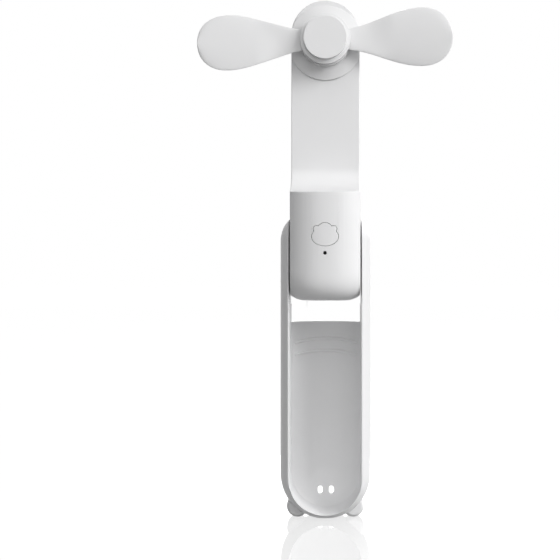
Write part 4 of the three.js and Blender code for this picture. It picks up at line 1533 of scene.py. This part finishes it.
    def bow(self, paddle: bpy.types.Object) -> None:
        """Bows the paddle's middle towards the front.

        Args:
            paddle: The flat paddle along +X.
        """
        for point in paddle.data.vertices:
            across = point.co.z / self.half_width(point.co.x)
            point.co.y -= self.camber * self.twist(point.co.x) * max(1 - across ** 2, 0)

    def twist(self, radius: float) -> float:
        """Share of the pitch that the paddle has reached.

        Args:
            radius: Distance from the rotor's axis.

        Returns:
            0 at the root, 1 towards the tip.
        """
        return smoothstep(radius, self.twist_start, self.twist_end)

    def blade(self, paddle: bpy.types.Object, side: Side) -> bpy.types.Object:
        """One blade: the paddle on its side, with the lug that turns on the blade's pin.

        Args:
            paddle: The paddle along +X.
            side: The blade's side.

        Returns:
            The blade about the rotor's axis.
        """
        blade = twin(paddle, f"paddle_{side.word}")
        if side is Side.LEFT:
            blade.rotation_euler = (0, math.pi, 0)
        blade.location = (0, (self.bay_back_y + self.bay_front_y) / 2 + side.value * self.stagger, 0)
        lone(blade)
        bpy.ops.object.transform_apply(location=True, rotation=True, scale=True)
        gap = self.sizes.seat_gap
        x = side.value * self.pin_reach
        length = self.bay_back_y - self.bay_front_y - 2 * gap
        lug = rod("lug", self.lug_radius, (x, self.bay_front_y + gap, 0), length, Axis.Y, FINE_POINTS)
        soften(lug, self.lug_edge)
        carve(blade, lug, Cut.JOINED)
        carve(blade, rod("lug_bore", self.lug_bore, (x, self.bay_front_y, 0), self.pin_length, Axis.Y))
        smooth(blade, self.smooth_angle)
        return blade


def smoothstep(value: float, low: float, high: float) -> float:
    """Smooth ramp from 0 to 1.

    Args:
        value: Where it is read.
        low: Where it leaves 0.
        high: Where it reaches 1.

    Returns:
        The ramp's height.
    """
    share = min(max((value - low) / (high - low), 0), 1)
    return share * share * (3 - 2 * share)


class FanInside:
    """The small solids in and on the fan that keep their own meshes."""

    FINISHES: Dict[str, Finish] = {
        "hinge_pin": STEEL,
        "hinge_bush": GREY_PLASTIC,
        "power_switch": BLACK_PLASTIC,
        "circuit_board": BOARD_GREEN,
        "usb_socket": STEEL,
        "battery_cell": CELL_WRAP,
        "indicator_led": LED_CLEAR,
        "indicator_lens": LENS_DARK,
        "board_screw": STEEL,
        "motor_screw": STEEL,
        "motor_lead_red": LEAD_RED,
        "motor_lead_black": LEAD_BLACK,
        "battery_lead_red": LEAD_RED,
        "battery_lead_black": LEAD_BLACK,
        "motor_can": STEEL,
        "motor_bearing": BRASS,
        "motor_shaft": STEEL,
        "blade_pin": STEEL,
    }

    def dress(self, dresser: Dresser) -> None:
        """Puts its finish on each solid that no piece stands for.

        Args:
            dresser: Gives the finishes.
        """
        for name, node in frame["nodes"].items():
            for start, finish in self.FINISHES.items():
                if name.startswith(start):
                    dresser.paint(node, finish)
                    LOG.info("%s wears %s", name, finish.name)


@dataclass
class Studio:
    """Camera, white floor, soft lamps and white surround."""

    camera_at: Triple = (0.005, -0.408, 0.1079)
    lens: float = 57.15
    sensor: float = 36
    clip_start: float = 0.01
    shift_x: float = -0.1006
    key_at: Triple = (1.02, -0.6, 0.81)
    key_size: float = 0.8
    key_power: float = 17.2
    top_at: Triple = (0, -0.9, 1.3)
    top_size: float = 1
    top_power: float = 4.1
    fill_at: Triple = (0.1, -1.45, 0.68)
    fill_size: float = 1.2
    fill_power: float = 3.1
    back_at: Triple = (0.3, 1.6, 0.9)
    back_size: float = 1.2
    back_power: float = 13
    aim: Triple = (0, 0, 0.13)
    surround: float = 0.11
    floor_size: float = 30
    floor_glow: float = 0.82
    floor_level: float = 1.21
    floor_grey: float = 0.15
    floor_sheen: float = 1.5
    floor_polish: float = 0.03
    floor_drop: float = 0.00002

    def build(self) -> None:
        """Sets up the whole studio."""
        self.camera()
        self.lamp("key", self.key_at, self.key_size, self.key_power)
        self.lamp("top", self.top_at, self.top_size, self.top_power)
        self.lamp("fill", self.fill_at, self.fill_size, self.fill_power)
        self.lamp("back", self.back_at, self.back_size, self.back_power)
        self.world()
        self.floor()

    def camera(self) -> None:
        """Level camera in front of the fan."""
        data = bpy.data.cameras.new("camera")
        data.lens = self.lens
        data.sensor_width = self.sensor
        data.shift_x = self.shift_x
        data.clip_start = self.clip_start
        camera = bpy.data.objects.new("camera", data)
        camera.location = self.camera_at
        camera.rotation_euler = (math.pi / 2, 0, 0)
        bpy.context.scene.collection.objects.link(camera)
        bpy.context.scene.camera = camera

    def lamp(self, name: str, place: Triple, size: float, power: float) -> None:
        """Soft square lamp that looks at the fan.

        Args:
            name: The lamp's name.
            place: Where it hangs.
            size: Length of its side.
            power: Its power in watts.
        """
        data = bpy.data.lights.new(name, "AREA")
        data.energy = power
        data.size = size
        lamp = bpy.data.objects.new(name, data)
        lamp.location = place
        lamp.rotation_euler = (Vector(self.aim) - Vector(place)).to_track_quat("-Z", "Y").to_euler()
        bpy.context.scene.collection.objects.link(lamp)

    def world(self) -> None:
        """White for camera, mirrored and see-through rays, dimmer as light."""
        world = bpy.data.worlds.new("surround")
        bpy.context.scene.world = world
        world.use_nodes = True
        nodes, links = world.node_tree.nodes, world.node_tree.links
        background = nodes["Background"]
        background.inputs["Color"].default_value = (1, 1, 1, 1)
        seen = self.seen_rays(nodes, links)
        level = nodes.new("ShaderNodeMapRange")
        level.inputs["To Min"].default_value = self.surround
        level.inputs["To Max"].default_value = 1
        links.new(seen, level.inputs["Value"])
        links.new(level.outputs["Result"], background.inputs["Strength"])

    @staticmethod
    def seen_rays(nodes: bpy.types.Nodes, links: bpy.types.NodeLinks) -> bpy.types.NodeSocket:
        """Value that is 1 on rays that show the surround itself.

        Args:
            nodes: The tree's nodes.
            links: The tree's links.

        Returns:
            The socket that carries the value.
        """
        path = nodes.new("ShaderNodeLightPath")
        total = path.outputs["Is Camera Ray"]
        for label in ("Is Glossy Ray", "Is Transmission Ray"):
            more = nodes.new("ShaderNodeMath")
            more.operation = "MAXIMUM"
            links.new(total, more.inputs[0])
            links.new(path.outputs[label], more.inputs[1])
            total = more.outputs[0]
        return total

    def floor(self) -> None:
        """Wide white floor that keeps the fan's shadow and faint mirror image."""
        bpy.ops.object.select_all(action="DESELECT")
        bpy.ops.mesh.primitive_plane_add(size=self.floor_size, location=(0, 0, -self.floor_drop))
        floor = named("studio_floor")
        material = bpy.data.materials.new("studio_white")
        material.use_nodes = True
        nodes, links = material.node_tree.nodes, material.node_tree.links
        nodes.remove(nodes["Principled BSDF"])
        output = nodes["Material Output"]
        paper = nodes.new("ShaderNodeBsdfDiffuse")
        paper.inputs["Color"].default_value = (self.floor_grey, self.floor_grey, self.floor_grey, 1)
        glow = nodes.new("ShaderNodeEmission")
        glow.inputs["Strength"].default_value = self.floor_level
        mirror = nodes.new("ShaderNodeBsdfGlossy")
        mirror.inputs["Color"].default_value = (1, 1, 1, 1)
        mirror.inputs["Roughness"].default_value = self.floor_polish
        lit = nodes.new("ShaderNodeMixShader")
        share = nodes.new("ShaderNodeMath")
        share.operation = "MULTIPLY"
        share.inputs[1].default_value = self.floor_glow
        links.new(self.seen_rays(nodes, links), share.inputs[0])
        links.new(share.outputs[0], lit.inputs["Fac"])
        links.new(paper.outputs[0], lit.inputs[1])
        links.new(glow.outputs[0], lit.inputs[2])
        sheen = nodes.new("ShaderNodeFresnel")
        sheen.inputs["IOR"].default_value = self.floor_sheen
        shown = nodes.new("ShaderNodeMixShader")
        links.new(sheen.outputs[0], shown.inputs["Fac"])
        links.new(lit.outputs[0], shown.inputs[1])
        links.new(mirror.outputs[0], shown.inputs[2])
        links.new(shown.outputs[0], output.inputs["Surface"])
        floor.data.materials.append(material)


def main() -> None:
    """Builds the fan piece by piece, then the studio."""
    logging.basicConfig(level=logging.INFO)
    dresser = Dresser()
    FanCase(SIZES).build(dresser)
    FanBody(SIZES).build(dresser)
    FanRotor(SIZES).build(dresser)
    FanInside().dress(dresser)
    Studio().build()
    bpy.context.scene.view_settings.view_transform = "Standard"


if __name__ == "__main__":
    main()
